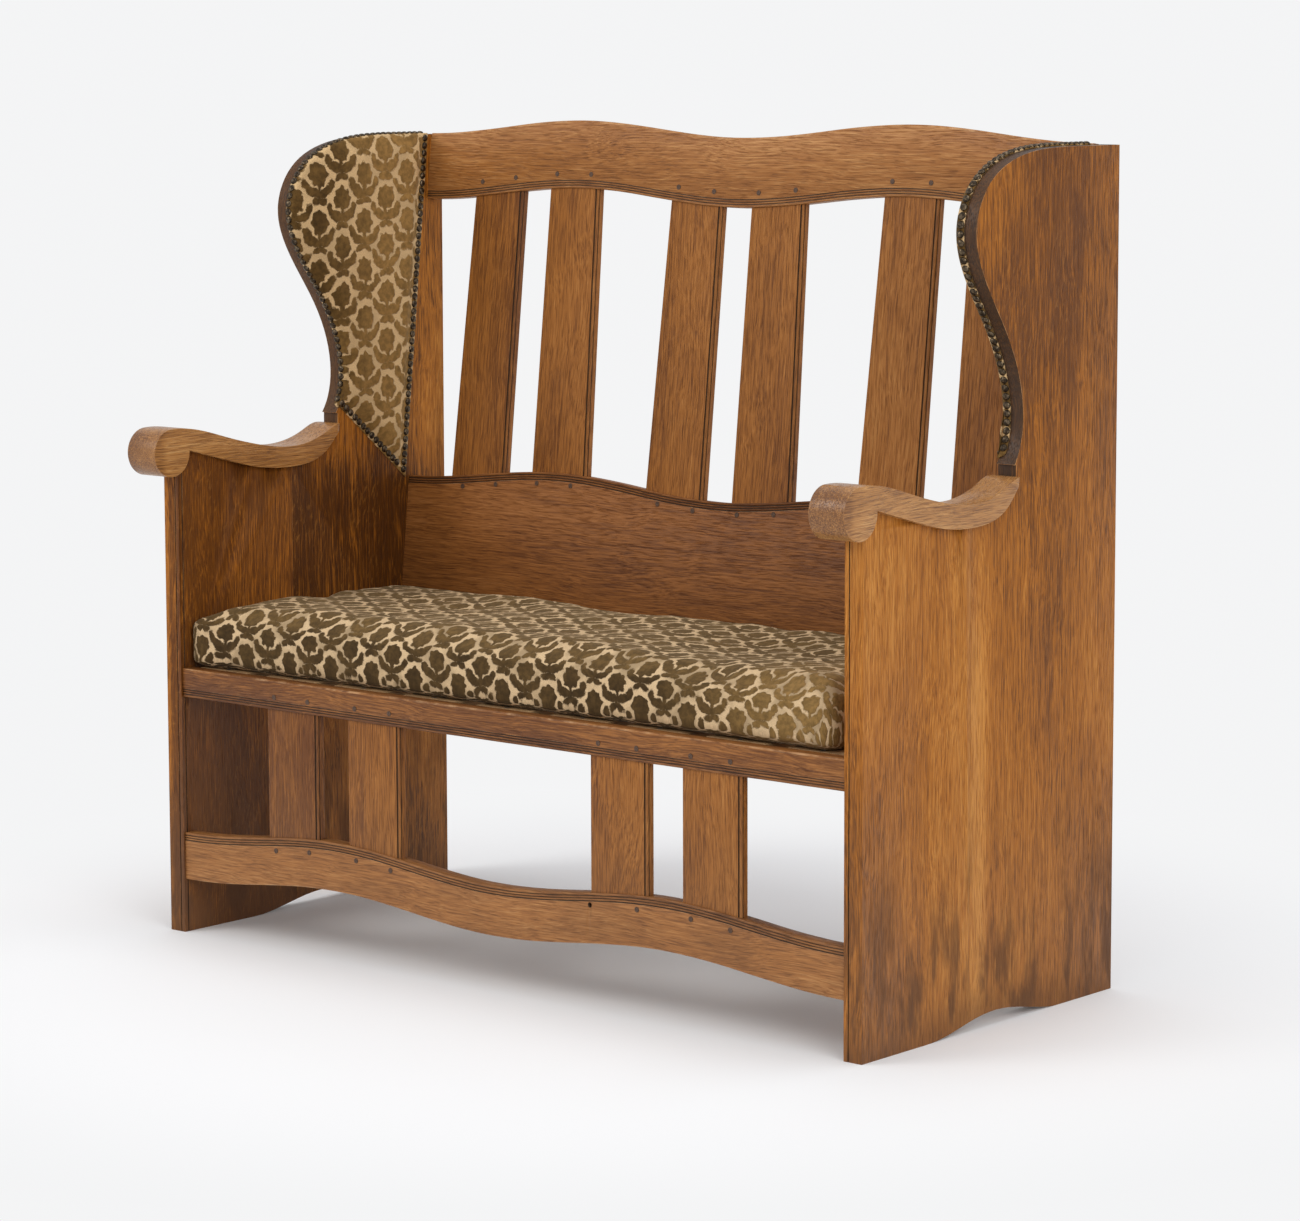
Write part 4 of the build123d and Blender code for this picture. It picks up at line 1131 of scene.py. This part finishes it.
heads_tree, heads_names = domed_heads()
heads_values = (
    ("Head Radius", 0.0052), ("Dome Share", 0.58), ("Lean", 0.16), ("Seed", 5),
    ("Finish", nail_bronze),
)
heads_entries = [(heads_names[label], value) for label, value in heads_values]
for side, hand in ((-1, "left"), (1, "right")):
    pad = new_piece(
        hand + "_wing_cloth", wing_pad(hand + "_wing_pad", side), wing_cloth, "settle",
        "wing_fabric", hand + "_wing_pad",
    )
    places = solid_middles(hand + "_wing_nails")
    base = bpy.data.meshes.new(hand + "_nail_places")
    base.from_pydata([tuple(spot) for spot, _ in places], [], [])
    store(base, "outward", "FLOAT_VECTOR", np.array([axis for _, axis in places]))
    heads = modified(base, "NODES", heads_entries, node_group=heads_tree)
    new_piece(hand + "_nail_heads", heads, nail_bronze, "settle", "nail_metal", hand + "_wing_nails")


# Cushion

cushion_low, cushion_high = (Vector(corner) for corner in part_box("cushion"))
cushion_seed = 3
cushion_clearance = 0.0012
stuffing_voxel = 0.0075
room_to_swell = (0.006, 0.006, 0.005)
most_swelling = 0.016
cloth_scale = 1.14
edge_rounding = 0.022
hollows = ((-0.29, 0.013, 0.15), (0.27, 0.016, 0.16), (0.02, 0.007, 0.10))


def remeshed(node, voxel, inset):
    """The CAD cushion as an even mesh, drawn in a little so that it can swell."""
    form = merged_form(node)
    middle = (cushion_low + cushion_high) / 2
    for vert in form.verts:
        for axis in range(3):
            half = (cushion_high[axis] - cushion_low[axis]) / 2
            out = vert.co[axis] - middle[axis]
            vert.co[axis] = middle[axis] + out * (half - inset[axis]) / half
    mesh = bpy.data.meshes.new(node + "_stuffing")
    form.to_mesh(mesh)
    form.free()
    return modified(mesh, "REMESH", mode="VOXEL", voxel_size=voxel)


def swollen(mesh, cap):
    """The mesh's points, blown up as cloth, with no point moved further than the cap."""
    start = rows_of(mesh.vertices, "co")
    holder = in_scene("stuffing", mesh)
    cloth = holder.modifiers.new("cloth", "CLOTH")
    for label, value in (
        ("quality", 4), ("mass", 0.3), ("tension_stiffness", 8), ("compression_stiffness", 8),
        ("shear_stiffness", 4), ("bending_stiffness", 0.4), ("use_pressure", True),
        ("uniform_pressure_force", 4.0),
    ):
        setattr(cloth.settings, label, value)
    cloth.settings.effector_weights.gravity = 0.0
    cloth.point_cache.frame_start = 1
    cloth.point_cache.frame_end = 20
    scene = bpy.context.scene
    for moment in range(1, 21):
        scene.frame_set(moment)
    shown = holder.evaluated_get(bpy.context.evaluated_depsgraph_get())
    move = rows_of(shown.data.vertices, "co") - start
    scene.frame_set(1)
    bpy.data.objects.remove(holder)
    lengths = np.maximum(np.linalg.norm(move, axis=1), 1e-9)
    move *= (np.minimum(lengths, cap) / lengths)[:, None]
    return start + move


def drawn_share(x):
    """Rises from 0 near the cushion's middle to 1 near its end at the greater X."""
    return smooth_share((x + 0.1) / 0.55)


def overhang(spots):
    """How far the cushion sags over the front rail, ahead of the rail's face."""
    x, y, _ = spots.T
    sag = 0.0055 + 0.003 * drawn_share(x)
    return sag * smooth_share((front_face_y - 0.001 - y) / 0.0025)


def seat_wear(spots):
    """Settles the cushion: hollows where people sit, a slack top and creases."""
    x, y, z = spots.T
    base, top = cushion_low.z, cushion_high.z
    share = smooth_share((z - base - 0.02) / (top - base - 0.02))
    dip = np.zeros(len(spots))
    for place, depth, width in hollows:
        dip += depth * np.exp(-((x - place) / width) ** 2 - ((y + 0.03) / 0.13) ** 2)
    drift = np.array([
        noise.noise(Vector((spot[0] * 5.5, spot[1] * 8, cushion_seed)))
        + 0.5 * noise.noise(Vector((spot[0] * 17, spot[1] * 22, cushion_seed + 7)))
        for spot in spots
    ])
    spots = spots.copy()
    rear = smooth_share((y + 0.08) / 0.2)
    spots[:, 2] = z - 0.003 * (1 - share) - share * (0.0085 + 0.003 * rear + dip - 0.0065 * drift)
    bulge = np.array([
        noise.noise(Vector((spot[0] * 6.5, spot[2] * 12, cushion_seed + 20))) for spot in spots
    ])
    front = smooth_share((cushion_low.y + 0.05 - y) / 0.05)
    lower_edge = smooth_share((cushion_low.y + 0.022 - y) / 0.014)
    lower_edge *= smooth_share((base + 0.018 - z) / 0.014)
    spots[:, 1] += front * (0.0035 * bulge - 0.004 - 0.006 * drawn_share(x)) - 0.009 * lower_edge
    spots[:, 0] -= 0.010 * smooth_share((-0.42 - x) / 0.14)
    for side, push in ((-1, 0.028), (1, 0.008)):
        corner = smooth_share((side * x - 0.515) / 0.045) * smooth_share((-0.180 - y) / 0.042)
        spots[:, 0] += side * push * corner
        spots[:, 1] -= 0.5 * push * corner
    spots[:, 2] -= overhang(spots) * (1 - share)
    return spots


def kept_in_space(spots):
    """Keeps the cushion clear of the deck, the ends and the leaning back."""
    reach = inner_half - cushion_clearance
    spots[:, 0] = np.clip(spots[:, 0], -reach, reach)
    spots[:, 2] = np.maximum(spots[:, 2], seat_top + 0.0003 - overhang(spots))
    back = back_top_y - (overall_height - spots[:, 2]) * math.tan(rake) - cushion_clearance
    spots[:, 1] = np.minimum(spots[:, 1], back)
    front = cushion_low.y - 0.0095 - 0.003 * drawn_share(spots[:, 0])
    spots[:, 1] = np.maximum(spots[:, 1], front)
    return spots


def stuffed_cushion():
    """The cushion's cover, with the place of each point in its cloth."""
    mesh = remeshed("cushion", stuffing_voxel, room_to_swell)
    spots = kept_in_space(seat_wear(swollen(mesh, most_swelling)))
    mesh.vertices.foreach_set("co", spots.ravel())
    cover = modified(mesh, "SUBSURF", levels=1, render_levels=1)
    cover.shade_smooth()
    normals = rows_of(cover.vertex_normals, "vector")
    spots = kept_in_space(rows_of(cover.vertices, "co"))
    cover.vertices.foreach_set("co", spots.ravel())
    drop = np.maximum(cushion_high.z - edge_rounding - spots[:, 2], 0)
    cloth = (spots[:, :2] + normals[:, :2] * drop[:, None]) * cloth_scale
    store(cover, "cloth_at", "FLOAT_VECTOR", np.column_stack([cloth, np.zeros(len(cloth))]))
    return cover


cushion_piece = new_piece(
    "cushion_cover", stuffed_cushion(), cushion_velvet, "seat_cushion", "cushion_fabric", "cushion"
)


# Floor, light and camera

backdrop_white = (0.905, 0.908, 0.915, 1)


def plain_for_the_eye(tree, lit, plain_kind, rays, share, output):
    """Shows the plain backdrop colour instead of a lit surface to some kinds of ray."""
    paths = tree.nodes.new("ShaderNodeLightPath").outputs
    seen = Shade(paths["Is Camera Ray"])
    for ray in rays:
        seen = maths("MAXIMUM", seen, Shade(paths[f"Is {ray} Ray"]))
    plain = added(plain_kind, {"Color": backdrop_white}, 0, tree)
    feed(output, added("ShaderNodeMixShader", {0: seen * share, 1: lit, 2: plain}))


floor_material, floor_tree, floor_shader = plain_material(
    "pale floor", Roughness=0.75, Specular_IOR_Level=0.15
)
floor_place = object_place(floor_tree)
floor_mottle = noise_at(floor_place, 1.2, 2.0)
feed(
    floor_shader.inputs["Base Color"],
    blended(floor_mottle, (0.90, 0.90, 0.91, 1), (0.92, 0.92, 0.925, 1)),
)
far_share = eased_step(vectors("LENGTH", floor_place, output="Value"), 0.5, 1.3)
plain_for_the_eye(
    floor_tree, Shade(floor_shader.outputs[0]), "ShaderNodeEmission", ("Glossy", "Transmission"),
    far_share, floor_tree.nodes["Material Output"].inputs["Surface"],
)
floor_mesh = bpy.data.meshes.new("floor")
floor_size = 30.0
floor_mesh.from_pydata(
    [(x * floor_size, y * floor_size, 0) for x, y in ((-1, -1), (1, -1), (1, 1), (-1, 1))],
    [], [(0, 1, 2, 3)],
)
floor_mesh.materials.append(floor_material)
floor = in_scene("floor", floor_mesh)

world = bpy.data.worlds.new("pale studio")
bpy.context.scene.world = world
world.use_nodes = True
world_tree = world.node_tree
ambient = world_tree.nodes["Background"]
ambient.inputs["Color"].default_value = (0.95, 0.97, 1.0, 1)
ambient.inputs["Strength"].default_value = 0.70
plain_for_the_eye(
    world_tree, Shade(ambient.outputs[0]), "ShaderNodeBackground", ("Transmission",), 1.0,
    world_tree.nodes["World Output"].inputs["Surface"],
)

# Soft lights: name, place, aim, power, size and colour
warm_white = (1.0, 0.98, 0.95)
for name, place, aim, power, size, colour in (
    ("left box", (-2.6, -3.8, 3.4), (0.0, 0.0, 0.5), 84, 2.8, warm_white),
    ("right box", (4.4, -2.2, 2.6), (0.2, 0.0, 0.5), 84, 2.8, warm_white),
    ("top box", (0.4, 0.6, 4.4), (0.0, 0.0, 0.3), 40, 2.6, (1.0, 1.0, 1.0)),
):
    lamp = bpy.data.lights.new(name, "AREA")
    lamp.shape = "DISK"
    lamp.size = size
    lamp.energy = power
    lamp.color = colour
    holder = in_scene(name, lamp)
    holder.location = place
    holder.rotation_euler = (Vector(aim) - Vector(place)).to_track_quat("-Z", "Y").to_euler()

# Camera, with its lens and its middle in the pixels of the image
image_width, image_height = 1300, 1221
focal_pixels = 4131.73
principal = (653.87, 539.10)
turn, pitch, roll = (math.radians(angle) for angle in (40.367, 6.782, -0.147))
level = Vector((math.cos(turn), math.sin(turn), 0))
forward = Vector((
    -math.sin(turn) * math.cos(pitch), math.cos(turn) * math.cos(pitch), -math.sin(pitch)
))
upright = level.cross(forward)
rightward = math.cos(roll) * level + math.sin(roll) * upright
upward = -math.sin(roll) * level + math.cos(roll) * upright
lens = bpy.data.cameras.new("camera")
lens.sensor_width = 36.0
lens.sensor_fit = "HORIZONTAL"
lens.lens = focal_pixels / image_width * lens.sensor_width
lens.shift_x = (image_width / 2 - principal[0]) / image_width
lens.shift_y = (principal[1] - image_height / 2) / image_width
camera = in_scene("camera", lens)
camera.matrix_world = Matrix((
    (rightward.x, upward.x, -forward.x, 3.5945),
    (rightward.y, upward.y, -forward.y, -4.1389),
    (rightward.z, upward.z, -forward.z, 1.2266),
    (0, 0, 0, 1),
))
bpy.context.scene.camera = camera
bpy.context.scene.view_settings.view_transform = "Standard"
